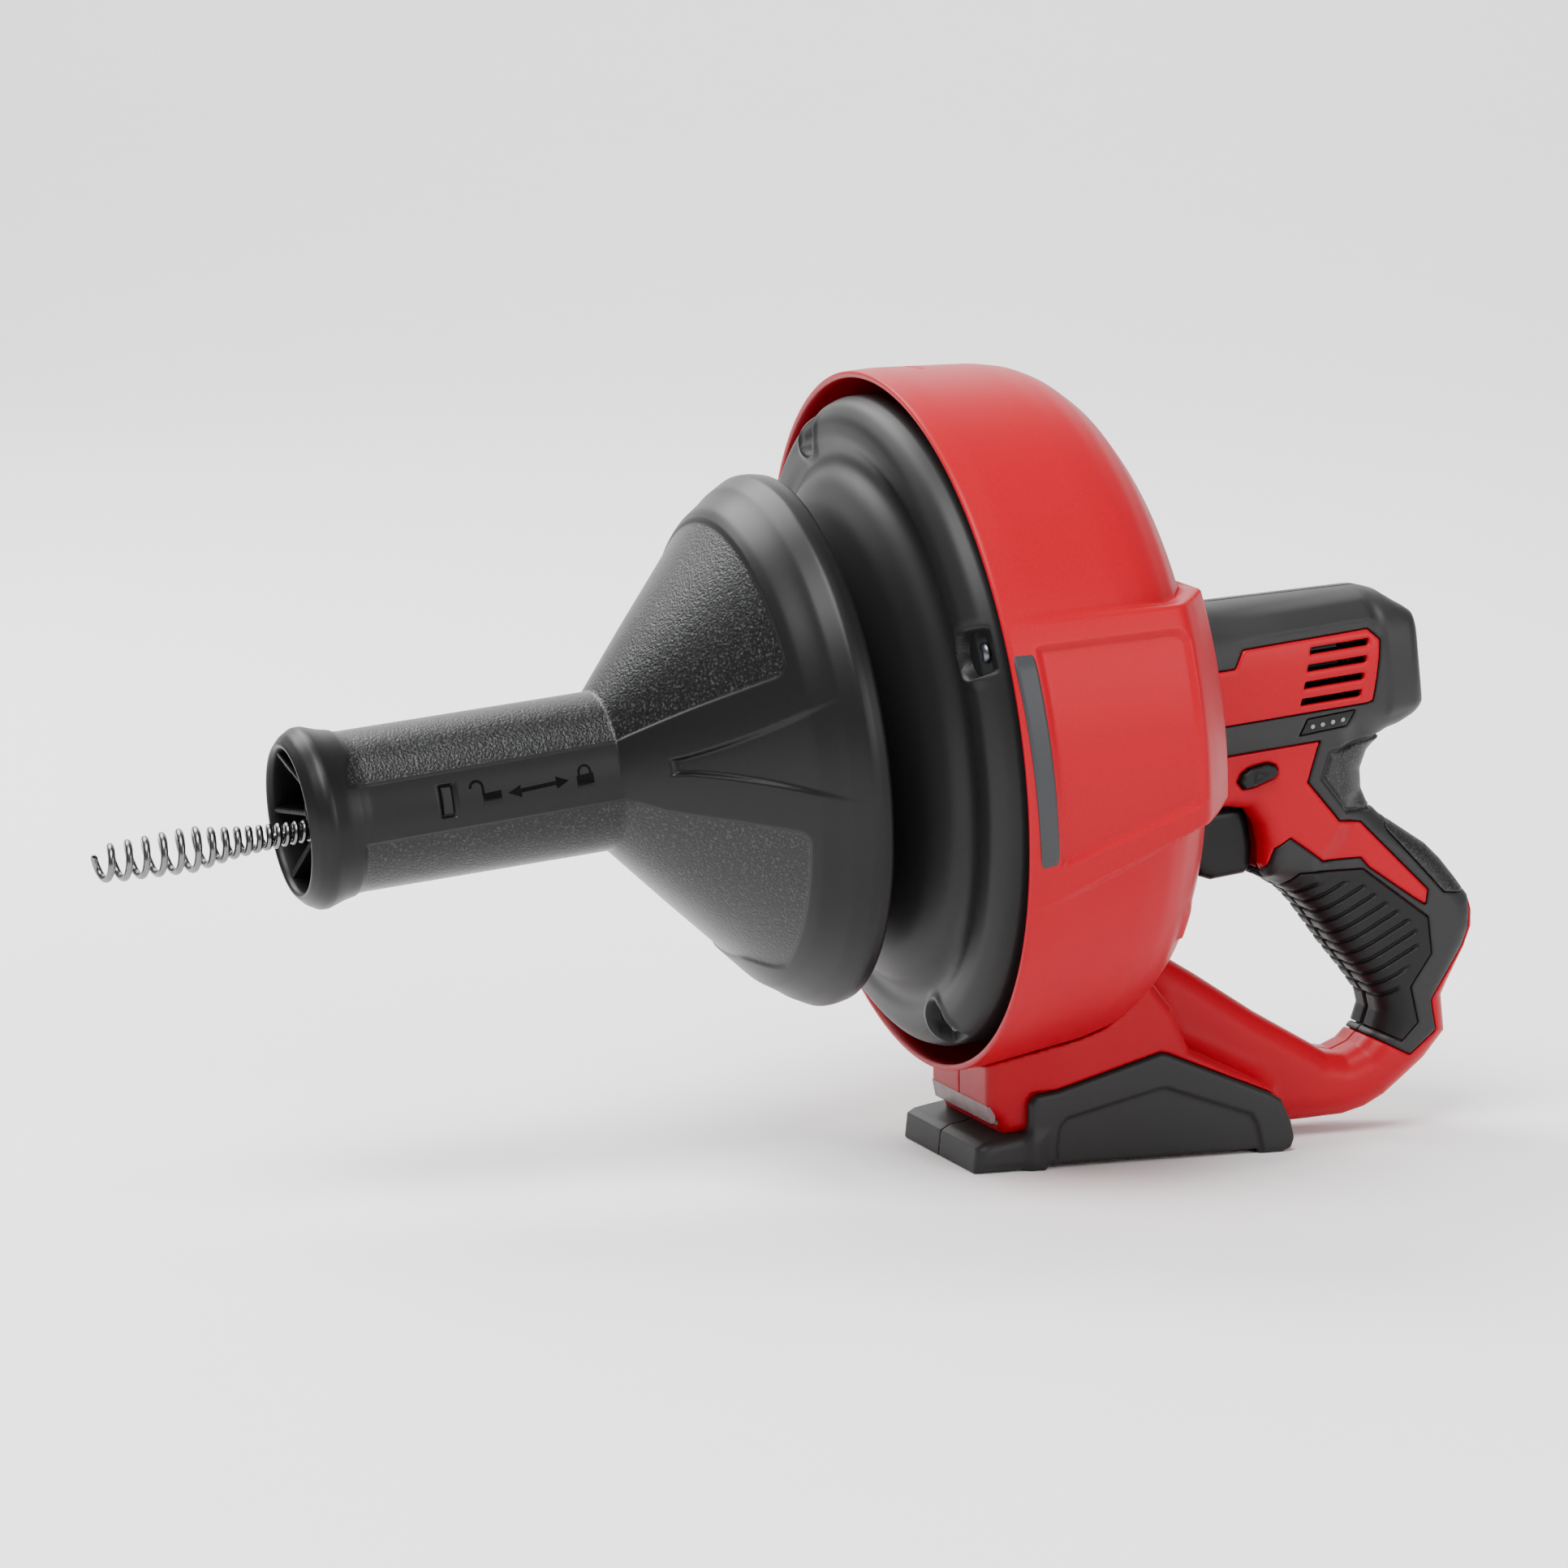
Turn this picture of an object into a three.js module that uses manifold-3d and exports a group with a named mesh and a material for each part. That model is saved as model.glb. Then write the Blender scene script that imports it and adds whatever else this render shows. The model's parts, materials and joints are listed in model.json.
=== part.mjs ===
// Battery drain snake machine: a cable drum in a round shroud, a sliding funnel hand grip in front
// and a D-shaped motor handle behind. Millimetres, +Z up, cable tip towards -Y, rear towards +Y.
// The origin is at the bottom centre of the whole object, between the two foot bumpers.
//
// Most pieces are drawn in the tilted frame of the drum axis: x across, s rearward along the axis
// and h square to it. Only the foot bumpers, the battery and the lights follow the floor.
import * as THREE from 'three';
import { mergeVertices } from 'three/addons/utils/BufferGeometryUtils.js';
import Module from 'manifold-3d';

const wasm = await Module();
wasm.setup();

// Driving dimensions.
const PITCH = THREE.MathUtils.degToRad(6);
const AXIS_Y = 35.26;
const AXIS_Z = 160.2;
const GAP = 0.3;
const SPLIT = 0.15;

const SHROUD_R = 127;
const SHROUD_WALL = 3;
const SHROUD_BACK = 84.3;
const DRUM_R = 118;
const DRUM_SPLIT = 16;
const NOSE_R = 15;
const NOSE_TIP = -182;
const CABLE_R = 4;
const CABLE_SAG = -4.2;
const CABLE_BREAK = -36;
const AUGER_START = -240;
const AUGER_TIP = -298;
const SHAFT_R = 5;

const GRIP_TIP = -227.4;
const GRIP_TUBE_R = 28.5;
const GRIP_RIM_R = 96;
const GRIP_WALL = 2.8;

const BARREL_H = -4;
const NECK_HALF = 21.5;
const HANDLE_HALF = 17.5;
const HANDLE_ROUND = 7;
const NECK_ROUND = 6;
const BASE_HALF = 36;
const FOOT_HALF = 37.5;
const FOOT_PLATE_INNER = 32.3;
const SKIN = 2.5;
const WIDE = 80;
const SHROUD_SIDES = 48;
const DRUM_SIDES = 36;
const GRIP_SIDES = 36;

// Planetary stage: sun 12, planet 9 and ring 30 teeth, module 1.
const SUN_TEETH = 12;
const PLANET_TEETH = 9;
const RING_TEETH = 30;
const PLANET_ORBIT = (SUN_TEETH + PLANET_TEETH) / 2;
const GEAR_FRONT = 98;
const GEAR_BACK = 108;
const TOOTH_ROOT = 1.05;
const TOOTH_TIP = 0.75;
const RING_GEAR_R = 16.101;
const PIN_R = 1.6;

// Finishes.
const redPlastic = { color: 0xd2202a, roughness: 0.42, metalness: 0 };
const blackPlastic = { color: 0x2b2b2d, roughness: 0.55, metalness: 0 };
const blackRubber = { color: 0x232324, roughness: 0.8, metalness: 0 };
const greyRubber = { color: 0x4a4b4d, roughness: 0.7, metalness: 0 };
const brightSteel = { color: 0xc4c6c8, roughness: 0.25, metalness: 1 };
const darkSteel = { color: 0x55585c, roughness: 0.4, metalness: 1 };
const clearLens = { color: 0xd8dadb, roughness: 0.15, metalness: 0 };
const bronze = { color: 0xa9824a, roughness: 0.45, metalness: 1 };
const boardGreen = { color: 0x1f5a38, roughness: 0.5, metalness: 0 };

// ---------------------------------------------------------------- solids

// A closed geometry as a solid, with its shared vertices merged and its empty triangles dropped.
function solid(geometry) {
  const bare = geometry.clone();
  bare.deleteAttribute('normal');
  bare.deleteAttribute('uv');
  const merged = mergeVertices(bare, 1e-4);
  const index = merged.index.array;
  const corners = [];
  for (let i = 0; i < index.length; i += 3) {
    const [a, b, c] = [index[i], index[i + 1], index[i + 2]];
    if (a !== b && b !== c && c !== a) corners.push(a, b, c);
  }
  return new wasm.Manifold(new wasm.Mesh({
    numProp: 3,
    vertProperties: Float32Array.from(merged.attributes.position.array),
    triVerts: Uint32Array.from(corners),
  }));
}

const union = (first, ...others) => others.reduce((sum, other) => sum.add(other), first);

// A solid turned about the s axis from a profile of [radius, s], counterclockwise.
// A profile that doesn't start on the axis closes on itself.
function turned(profile, sides = 48, x = 0, h = 0) {
  const closed = profile[0][0] === 0 ? profile : [...profile, profile[0]];
  const points = closed.map(([r, s]) => new THREE.Vector2(r, s));
  return solid(new THREE.LatheGeometry(points, sides).translate(x, 0, h));
}

const rod = (r, s0, s1, sides = 16, x = 0, h = 0) =>
  turned([[0, s0], [r, s0], [r, s1], [0, s1]], sides, x, h);

const tube = (inner, outer, s0, s1, sides = 32, x = 0, h = 0) =>
  turned([[inner, s0], [outer, s0], [outer, s1], [inner, s1]], sides, x, h);

function block(x0, x1, s0, s1, h0, h1) {
  const geometry = new THREE.BoxGeometry(x1 - x0, s1 - s0, h1 - h0);
  return solid(geometry.translate((x0 + x1) / 2, (s0 + s1) / 2, (h0 + h1) / 2));
}

// A round bar across the machine, from x0 to x1.
function crossbar(r, x0, x1, s, h, sides = 16) {
  const geometry = new THREE.CylinderGeometry(r, r, x1 - x0, sides).rotateZ(Math.PI / 2);
  return solid(geometry.translate((x0 + x1) / 2, s, h));
}

const polygon = (points) => new THREE.Shape(points.map(([a, b]) => new THREE.Vector2(a, b)));

// A side view in (s, h) given width, from x0 to x1.
const SIDE_VIEW = new THREE.Matrix4().makeBasis(
  new THREE.Vector3(0, 1, 0), new THREE.Vector3(0, 0, 1), new THREE.Vector3(1, 0, 0));

function slab(shape, x0, x1, bevel = 0) {
  const geometry = new THREE.ExtrudeGeometry(shape, {
    depth: x1 - x0 - 2 * bevel,
    bevelEnabled: bevel > 0,
    bevelThickness: bevel,
    bevelSize: bevel,
    bevelOffset: -bevel,
    bevelSegments: 2,
  });
  return solid(geometry.translate(0, 0, x0 + bevel).applyMatrix4(SIDE_VIEW));
}

// Points of a closed outline moved outward by a distance, or inward where it is negative.
function grown(points, distance) {
  const turn = Math.sign(THREE.ShapeUtils.area(points.map(([a, b]) => new THREE.Vector2(a, b))));
  return points.map((point, i) => {
    const before = points[(i + points.length - 1) % points.length];
    const after = points[(i + 1) % points.length];
    const inLine = new THREE.Vector2(point[0] - before[0], point[1] - before[1]).normalize();
    const outLine = new THREE.Vector2(after[0] - point[0], after[1] - point[1]).normalize();
    const normal = new THREE.Vector2(inLine.y + outLine.y, -inLine.x - outLine.x).normalize();
    const stretch = Math.max(0.5, normal.x * inLine.y - normal.y * inLine.x);
    return [point[0] + turn * normal.x * distance / stretch,
      point[1] + turn * normal.y * distance / stretch];
  });
}

// A round wire or tube core along a smooth curve through points of (x, s, h).
function wire(points, radius, steps, sides = 8) {
  const section = new THREE.Shape();
  for (let i = 0; i < sides; i += 1) {
    const angle = i * 2 * Math.PI / sides;
    const corner = [radius * Math.cos(angle), radius * Math.sin(angle)];
    if (i === 0) section.moveTo(...corner);
    else section.lineTo(...corner);
  }
  const path = new THREE.CatmullRomCurve3(points.map((p) => new THREE.Vector3(...p)));
  return solid(new THREE.ExtrudeGeometry(section, { extrudePath: path, steps }));
}

// A toothed outline with straight tapered teeth, its first tooth at an angle.
function gearPoints(teeth, rootR, tipR, firstTooth = 0) {
  const points = [];
  const step = 2 * Math.PI / teeth;
  for (let i = 0; i < teeth; i += 1) {
    const middle = firstTooth + i * step;
    for (const [r, part] of [[rootR, -0.23], [tipR, -0.1], [tipR, 0.1], [rootR, 0.23]]) {
      const angle = middle + part * step;
      points.push([r * Math.cos(angle), r * Math.sin(angle)]);
    }
  }
  return points;
}

// A section in (x, h) extruded along the s axis.
const ALONG_AXIS = new THREE.Matrix4().makeBasis(
  new THREE.Vector3(1, 0, 0), new THREE.Vector3(0, 0, 1), new THREE.Vector3(0, -1, 0));

function column(shape, s0, s1, x = 0, h = 0) {
  const geometry = new THREE.ExtrudeGeometry(shape, { depth: s1 - s0, bevelEnabled: false });
  return solid(geometry.applyMatrix4(ALONG_AXIS).translate(x, s1, h));
}

// ---------------------------------------------------------------- frames

// A point of the upright frame (y, z from the floor) in the tilted frame (s, h).
function tilted([y, z]) {
  const dy = y - AXIS_Y;
  const dz = z - AXIS_Z;
  return [dy * Math.cos(PITCH) + dz * Math.sin(PITCH), dz * Math.cos(PITCH) - dy * Math.sin(PITCH)];
}

const machine = new THREE.Group();
const axisFrame = new THREE.Group();
axisFrame.position.set(0, AXIS_Y, AXIS_Z);
axisFrame.rotation.x = PITCH;
machine.add(axisFrame);

function place(name, piece, finish, frame = axisFrame) {
  const { vertProperties, triVerts } = piece.getMesh();
  const geometry = new THREE.BufferGeometry();
  geometry.setAttribute('position', new THREE.BufferAttribute(vertProperties, 3));
  geometry.setIndex(new THREE.BufferAttribute(triVerts, 1));
  geometry.computeVertexNormals();
  const mesh = new THREE.Mesh(geometry, new THREE.MeshStandardMaterial(finish));
  mesh.name = name;
  frame.add(mesh);
}

// ---------------------------------------------------------------- shroud and its side pads

// The shroud's outer wall, from the front rim over the shoulder to the flat back.
const shroudWall = (grow) => [
  [SHROUD_R + grow, -grow], [123.6 + grow, 45], [121.9 + grow, 54], [117.6 + grow, 62.5],
  [110.6 + grow, 70.5 + grow], [100.5 + grow, 77.3 + grow], [88 + grow, 82 + grow],
  [76 + grow, SHROUD_BACK + grow],
];
const shroudCore = (grow = 0) =>
  turned([[0, -grow], ...shroudWall(grow), [0, SHROUD_BACK + grow]], SHROUD_SIDES);

// A side pad: the front cylinder carried straight back past the shoulder, then chamfered.
function sidePad(side, grow = 0) {
  const pad = slab(polygon(grown([[3, -48], [3, 49], [67, 47], [80, 45], [84, 20], [84, -20],
    [80, -30], [67, -34]], grow)), Math.min(side * 96, side * 131), Math.max(side * 96, side * 131));
  const hull = turned([[0, -1], [SHROUD_R + 0.4 + grow, -1], [SHROUD_R + 0.4 + grow, 67],
    [106 + grow, SHROUD_BACK + grow], [0, SHROUD_BACK + grow]], SHROUD_SIDES);
  return pad.intersect(hull);
}

const bumperOutline = [[0.9, 41], [7.5, 41], [9.8, -35.5], [3.2, -37]];

function bumper(side, outerR, grow = 0) {
  const strip = slab(polygon(grown(bumperOutline, grow)), Math.min(side * 110, side * 131),
    Math.max(side * 110, side * 131));
  return strip.intersect(tube(SHROUD_R - 2 - grow, outerR, -6, 20, SHROUD_SIDES));
}

function shroud() {
  const hollow = turned([[0, -1], [SHROUD_R - SHROUD_WALL + 0.6, -1], [121, 45], [115.2, 60.4],
    [108.2, 67.6], [98.6, 73.8], [76, 81], [0, 81]], SHROUD_SIDES);
  const shell = union(shroudCore(), sidePad(1), sidePad(-1)).subtract(hollow);
  const seats = [bumper(1, 140, GAP), bumper(-1, 140, GAP)];
  const screwHoles = shroudScrewSpots.map(([x, h]) => rod(2.3, 70, 90, 12, x, h));
  const cuts = [rod(14, 70, 90, 32), ...seats, ...screwHoles];
  return cuts.reduce((body, cut) => body.subtract(cut), shell);
}

const shroudScrewSpots = [30, 150, 270].map((degrees) => {
  const angle = THREE.MathUtils.degToRad(degrees);
  return [24.5 * Math.cos(angle), 24.5 * Math.sin(angle)];
});

// ---------------------------------------------------------------- drum

const screwAngles = [-20.6, 69.4, 159.4, 249.4].map((degrees) => THREE.MathUtils.degToRad(degrees));
const screwSpots = screwAngles.map((angle) => [110 * Math.sin(angle), 110 * Math.cos(angle)]);

function frontCover() {
  const outer = [[15.4, -47], [24, -47], [50, -35], [82, -20.5], [91, -14], [96, -9.5], [99, -8.4],
    [104, -9.6], [112, -8.2], [117, -3], [DRUM_R, 3], [DRUM_R, DRUM_SPLIT]];
  const inner = [[115, DRUM_SPLIT], [115, 3.6], [110, -4.6], [99, -5], [94, -6.5], [80, -17.5],
    [48, -32], [24, -43.5], [15.4, -43.5]];
  const cup = turned([...outer, ...inner], DRUM_SIDES);
  const solidCup = turned([[0, -47], ...outer, [0, DRUM_SPLIT]], DRUM_SIDES);
  const bosses = screwSpots.map(([x, h]) => rod(8.6, -12, DRUM_SPLIT, 12, x, h));
  const kept = bosses.map((boss) => boss.intersect(solidCup));
  const pockets = screwSpots.map(([x, h]) => rod(6.2, -20, -1.5, 12, x, h));
  const mouths = screwSpots.map(([x, h]) => rod(6.2, -20, -1.5, 12, x * 1.08, h * 1.08));
  const holes = screwSpots.map(([x, h]) => rod(2.1, -5, DRUM_SPLIT + 1, 8, x, h));
  return [...pockets, ...mouths, ...holes].reduce((body, cut) => body.subtract(cut),
    union(cup, ...kept));
}

function rearShell() {
  const full = rod(DRUM_R, 0, 60, DRUM_SIDES);
  const front = DRUM_SPLIT + GAP;
  const shell = turned([[DRUM_R, front], [DRUM_R, 46], [110.6, 58], [103, 65], [92, 71],
    [76, 75.2], [13, 75.2], [13, 79.5], [SHAFT_R + GAP, 79.5], [SHAFT_R + GAP, 52], [13, 52],
    [13, 72.2], [75.5, 72.2], [90.5, 68.3], [101, 62.5], [108.2, 55.8], [115, 45],
    [115, front]], DRUM_SIDES);
  const bosses = screwSpots.map(([x, h]) => rod(6, front, 34, 8, x, h).intersect(full));
  const holes = screwSpots.map(([x, h]) => rod(2.1, 0, 28, 8, x, h));
  return holes.reduce((body, cut) => body.subtract(cut), union(shell, ...bosses));
}

// A pan-head screw along s, its head towards the cable tip.
const panScrew = (headR, headS, shankR, length, x, h) =>
  turned([[0, headS], [headR * 0.7, headS], [headR, headS + 0.9], [headR, headS + 2.4],
    [shankR, headS + 2.4], [shankR, headS + 2.4 + length], [0, headS + 2.4 + length]], 8, x, h);

const leadRoute = [[0, CABLE_BREAK, 0], [0, -26, 0], [0, -12, 5], [3, 0, 22], [14, 9, 44],
  [34, 15, 62], [58, 19, 66]];

function guideTube() {
  return wire(leadRoute, 6.4, 12, 8).subtract(wire(
    [[0, CABLE_BREAK - 6, 0], ...leadRoute.slice(1), [66, 20, 66]], CABLE_R + 0.5, 14, 8));
}

// The nose tube that the grip slides on, with three radial slots for the chuck jaws.
function noseTube() {
  const body = turned([[9, NOSE_TIP], [NOSE_R, NOSE_TIP], [NOSE_R, -43.2], [30, -36.2],
    [30, -33.5], [9, -38]], 28);
  const slots = jawAngles.map((angle) => jawBlock(angle, 4, 20, 6.2, -181.2, -166.8));
  return slots.reduce((tubeBody, cut) => tubeBody.subtract(cut), body);
}

const jawAngles = [0, 120, 240].map((degrees) => THREE.MathUtils.degToRad(degrees));

// A block from radius r0 to r1, standing out along an angle from +h towards +x.
function jawBlock(angle, r0, r1, width, s0, s1) {
  const geometry = new THREE.BoxGeometry(width, s1 - s0, r1 - r0);
  geometry.translate(0, (s0 + s1) / 2, (r0 + r1) / 2);
  return solid(geometry.rotateY(angle));
}

function augerRoute() {
  const points = [];
  const stepsPerTurn = 8;
  let s = AUGER_START - 2;
  for (let i = 0; s > AUGER_TIP + 1.3; i += 1) {
    const along = (AUGER_START - 2 - s) / (AUGER_START - AUGER_TIP);
    const swell = Math.sin(Math.min(1, along * 1.5) * Math.PI / 2);
    const radius = 2.7 + 4 * swell - 1.6 * Math.max(0, along - 0.72) / 0.28;
    const angle = i * 2 * Math.PI / stepsPerTurn;
    points.push([radius * Math.cos(angle), s, CABLE_SAG + radius * Math.sin(angle)]);
    s -= (3.2 + 3 * along) / stepsPerTurn;
  }
  return points;
}

// ---------------------------------------------------------------- funnel hand grip

function funnelGrip() {
  const outer = [[27.1, GRIP_TIP], [32.5, -219.8], [30.6, -210], [GRIP_TUBE_R, -206],
    [GRIP_TUBE_R, -113], [52.1, -91.5], [74, -71], [84.5, -62], [94, -50.5], [GRIP_RIM_R, -45],
    [GRIP_RIM_R, -39], [GRIP_RIM_R - 1.5, -37.8]];
  const inner = [[92, -37.8], [91.5, -46], [81.5, -58.8], [71.5, -67.4], [50, -87.5],
    [GRIP_TUBE_R - 1, -108.8], [GRIP_TUBE_R - GRIP_WALL, -112], [GRIP_TUBE_R - GRIP_WALL, -205],
    [26.4, -212], [25.6, -226]];
  const shell = turned([...outer, ...inner], GRIP_SIDES);
  const sleeve = tube(17.6, 19.8, -207, -112, 28);
  const hub = tube(9, 11.5, -218, -211, 24);
  const ribs = [0, 1, 2].map((i) => {
    const half = [[26.8, -226], [10, -218.5], [10, -211.5], [18.5, -207.5], [18.5, -113],
      [26.8, -113]];
    const angle = THREE.MathUtils.degToRad(30 + 60 * i);
    return [-1, 1].map((side) => {
      const fin = polygon(half.map(([r, s]) => [s, side * r]));
      const geometry = new THREE.ExtrudeGeometry(fin, { depth: 2, bevelEnabled: false });
      geometry.translate(0, 0, -1).applyMatrix4(SIDE_VIEW);
      return solid(geometry.rotateY(angle));
    });
  });
  const window = block(22, 40, -179.8, -174.6, -2, 9);
  return union(shell, sleeve, hub, ...ribs.flat()).subtract(window);
}

// ---------------------------------------------------------------- handle housing

const barrelProfile = (inset) => [[0, SHROUD_BACK + GAP], [32.4 - inset, SHROUD_BACK + GAP],
  [28.8 - inset, 183 - inset], [26 - inset, 189.5 - inset], [21 - inset, 195 - inset],
  [14.5 - inset, 200 - inset], [0, 201 - inset]];

const neckOutline = [[97, -14], [99, -47.8], [131, -47.8], [131.3, -73], [150, -76], [166, -62],
  [160, -46], [168, -30], [168, -14]];

const handleOutline = [[131, -14], [186, -14], [184, -31], [176.2, -43], [177, -54.5],
  [185, -63.5], [198.3, -76], [208, -90], [215.8, -102.5], [214.8, -110.5], [200.4, -131.3],
  [199.8, -146.4], [189.6, -155.8], [174.2, -165.6], [157.6, -170.4], [139.3, -170.2],
  [100, -167], [60, -160], [60, -100], [SHROUD_BACK + GAP, -94.5], [149.5, -144.9],
  [158.5, -148.6], [168, -145], [174.2, -135], [172, -127], [160.2, -108.7], [148, -90],
  [134.6, -78], [131.3, -73]];

const baseOutline = [[64.3, 14.6], [60.7, 28], [60.3, 60], [122, 66], [130, 60], [134, 40.5],
  [169.3, 24], [173.8, 19], [175.3, 6.5], [171.3, 2.4], [80.9, 2.4], [80.9, 14.6]].map(tilted);

const plateOutline = [[73.3, 5], [73.6, 24.7], [75.8, 27.5], [83.6, 28.5], [124.6, 39.9],
  [127.8, 39.1], [168.2, 22.1], [172.5, 19.5], [176.5, 11.1], [177.9, 5], [176.7, 1.4], [173.3, 0],
  [163.8, 0], [163.1, 1.7], [81.5, 1.7], [79.3, 0], [74.3, 0]];

const frontPadOutline = [[51.5, 0], [80.3, 0], [80.3, 14], [68.9, 13.6], [54.2, 10.7]];

// The black skin in side view, around the inset motor panel and the red neck patch.
const skinOutline = [[80, 40], [215, 40], [235, -60], [228, -96], [213.8, -98.1], [211.3, -108.5],
  [208.8, -114.3], [193.4, -132.8], [194.4, -144.4], [182.8, -151.7], [166, -143.5], [150, -110],
  [120, -80], [131, -74], [134.6, -65.6], [140.7, -62.3], [153.8, -73.5], [169.7, -74.8],
  [172.6, -78.9], [194.2, -96.7], [195.6, -91.1], [170.8, -61.5], [160.8, -59.1],
  [149.5, -42.8], [155.6, -28.3], [80, -28.3]];

const panelOutline = [[101, 4], [122.4, 4], [126.4, 10.3], [176.6, 10.3], [180.8, 6], [179.5, -1],
  [176, -16], [173.7, -16.5], [101, -16.5]];

const gripPanelOutline = [[128, -92], [143, -76.8], [170.2, -79.1], [194.7, -101.4],
  [194.9, -115.3], [185.4, -126.4], [187.2, -140.2], [180.1, -146.1], [160, -136]];

// The whole handle as one body, its surface moved in by an inset.
function handleBody(inset) {
  const flats = slab(polygon([[80, -40], [80, 35], [210, 35], [210, -40]]), -(27.5 - inset),
    27.5 - inset);
  const barrel = turned(barrelProfile(inset), 40, 0, BARREL_H).intersect(flats);
  const neck = slab(polygon(grown(neckOutline, -inset)), -(NECK_HALF - inset), NECK_HALF - inset,
    NECK_ROUND - inset);
  const handle = slab(polygon(grown(handleOutline, -inset)), -(HANDLE_HALF - inset),
    HANDLE_HALF - inset, HANDLE_ROUND - inset);
  const base = slab(polygon(grown(baseOutline, -inset)), -(BASE_HALF - inset), BASE_HALF - inset);
  return union(barrel, neck, handle, base);
}

const outerBody = handleBody(0);
const skinDepth = handleBody(SKIN);

const halfSpace = (side) => block(Math.min(side * SPLIT, side * WIDE),
  Math.max(side * SPLIT, side * WIDE), -20, 240, -200, 60);

// A side-view region on one side of the machine, as a cutting slab.
const region = (outline, side, grow = 0, from = SPLIT) =>
  slab(polygon(grown(outline, grow)), Math.min(side * (from - grow), side * WIDE),
    Math.max(side * (from - grow), side * WIDE));

// The soft skin's whole space on one side, before the grip panel and the pads are taken out of it.
function skinSpace(side, grow) {
  const outline = region(skinOutline, side, grow);
  const panel = region(panelOutline, side, -grow, 20);
  const depth = grow > 0 ? handleBody(SKIN + grow) : skinDepth;
  const base = region([[0, -100], [90, -100], [140, -200], [0, -200]], side, 0);
  return outline.subtract(panel).subtract(depth).subtract(base);
}

const ventSlots = [0, 1, 2, 3].map((k) => {
  const top = 7.3 - 6.05 * k;
  const left = 153 - 1.8 * k;
  const right = 176.6 - 1.6 * k;
  return [[left, top], [right, top], [right - 0.8, top - 2.7], [left - 0.8, top - 2.7]];
});

const housingScrews = [[112, 21.6], [189, -10], [196, -134], [112, -132]];
const SCREW_HEAD_X = -9;

const selectorOutline = [[122.8, -39], [124.6, -40.6], [135, -38.6], [136.8, -36.6],
  [135.4, -34.6], [125, -34.6]];

const triggerOutline = [[105.5, -48.8], [131, -48.8], [131, -73.5], [127, -75.9], [113, -75.9],
  [106.5, -71], [103.5, -62], [103.8, -53]];

// The room the trigger slides in.
const triggerBay = slab(polygon([[90, -48.2], [144, -48.2], [144, -73], [134, -80], [90, -80]]),
  -11.2, 11.2);

function housingHalf(side) {
  const left = side > 0;
  const gearBay = rod(19.5, 80, 119, 36);
  const motorBay = rod(18.2, 118, 178, 36);
  const switchBay = block(-8.6, 8.6, 143, 169, -71, -46);
  const boardBay = block(-3.5, 3.5, 179, 197, -124, -88);
  const batteryBay = slab(polygon([[86.3, -2], [86.3, 27.6], [150.9, 27.6], [150.9, -2]].map(tilted)),
    -24.6, 24.6);
  const contactBay = slab(polygon([[89.3, 27], [89.3, 34.6], [101.3, 34.6],
    [101.3, 27]].map(tilted)), -9, 9);
  const lensBay = slab(polygon([[52.3, 16.5], [63.5, 16.5], [63.5, 22.9], [52.3, 22.9]].map(tilted)),
    -29.4, 29.4);
  const lampBay = slab(polygon([[63.3, 15.6], [66.6, 15.6], [66.6, 24.4], [63.3, 24.4]].map(tilted)),
    -27.6, 27.6);
  const selectorHole = slab(polygon(grown(selectorOutline, 0.4)), -30, 30);
  const vents = ventSlots.map((slot) => slab(polygon(slot), side > 0 ? 12 : -40,
    side > 0 ? 40 : -12));
  const shroudScrewHoles = shroudScrewSpots.map(([x, h]) => rod(1.8, 80, 100, 10, x, h));
  const screwCuts = housingScrews.flatMap(([s, h]) => (left
    ? [crossbar(1.8, 0, 11, s, h, 10)]
    : [crossbar(1.8, -10, 0, s, h, 10), crossbar(3.6, -40, SCREW_HEAD_X + GAP, s, h, 14)]));
  const plates = region(plateOutline.map(tilted), side, GAP, FOOT_PLATE_INNER);
  const cuts = [shroudCore(GAP), sidePad(1, GAP), sidePad(-1, GAP), skinSpace(side, GAP), gearBay,
    motorBay, triggerBay, switchBay, boardBay, batteryBay, contactBay, lensBay, lampBay,
    selectorHole, ...vents, ...shroudScrewHoles, ...screwCuts, plates];
  return cuts.reduce((body, cut) => body.subtract(cut), outerBody.intersect(halfSpace(side)));
}

const gaugeOutline = [[149.4, -18.6], [168.6, -18], [165.8, -24.4], [147, -25]];
const palmPadOutline = [[178.6, -57], [183, -67], [202.5, -93.1], [214, -94.4], [222, -84],
  [196, -60]];

// What the grip panel and the two pads take out of the skin, or what they are made of.
const padSpace = (outline, side, grow) => region(outline, side, grow, 4);

function skin(side) {
  const screwHoles = side < 0
    ? housingScrews.map(([s, h]) => crossbar(3.8, -40, -2, s, h, 14)) : [];
  const cuts = [shroudCore(GAP), sidePad(side, GAP), region(gripPanelOutline, side, GAP, 1),
    padSpace(palmPadOutline, side, GAP), triggerBay, ...screwHoles];
  if (side > 0) cuts.push(region(gaugeOutline, side, GAP, 20));
  return cuts.reduce((body, cut) => body.subtract(cut),
    outerBody.intersect(skinSpace(side, 0)).intersect(halfSpace(side)));
}

const gripPanel = (side) => outerBody.intersect(skinSpace(side, 0))
  .intersect(region(gripPanelOutline, side, 0, 1));

const skinPad = (outline, side) => outerBody.intersect(skinSpace(side, 0))
  .intersect(padSpace(outline, side, 0));

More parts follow.
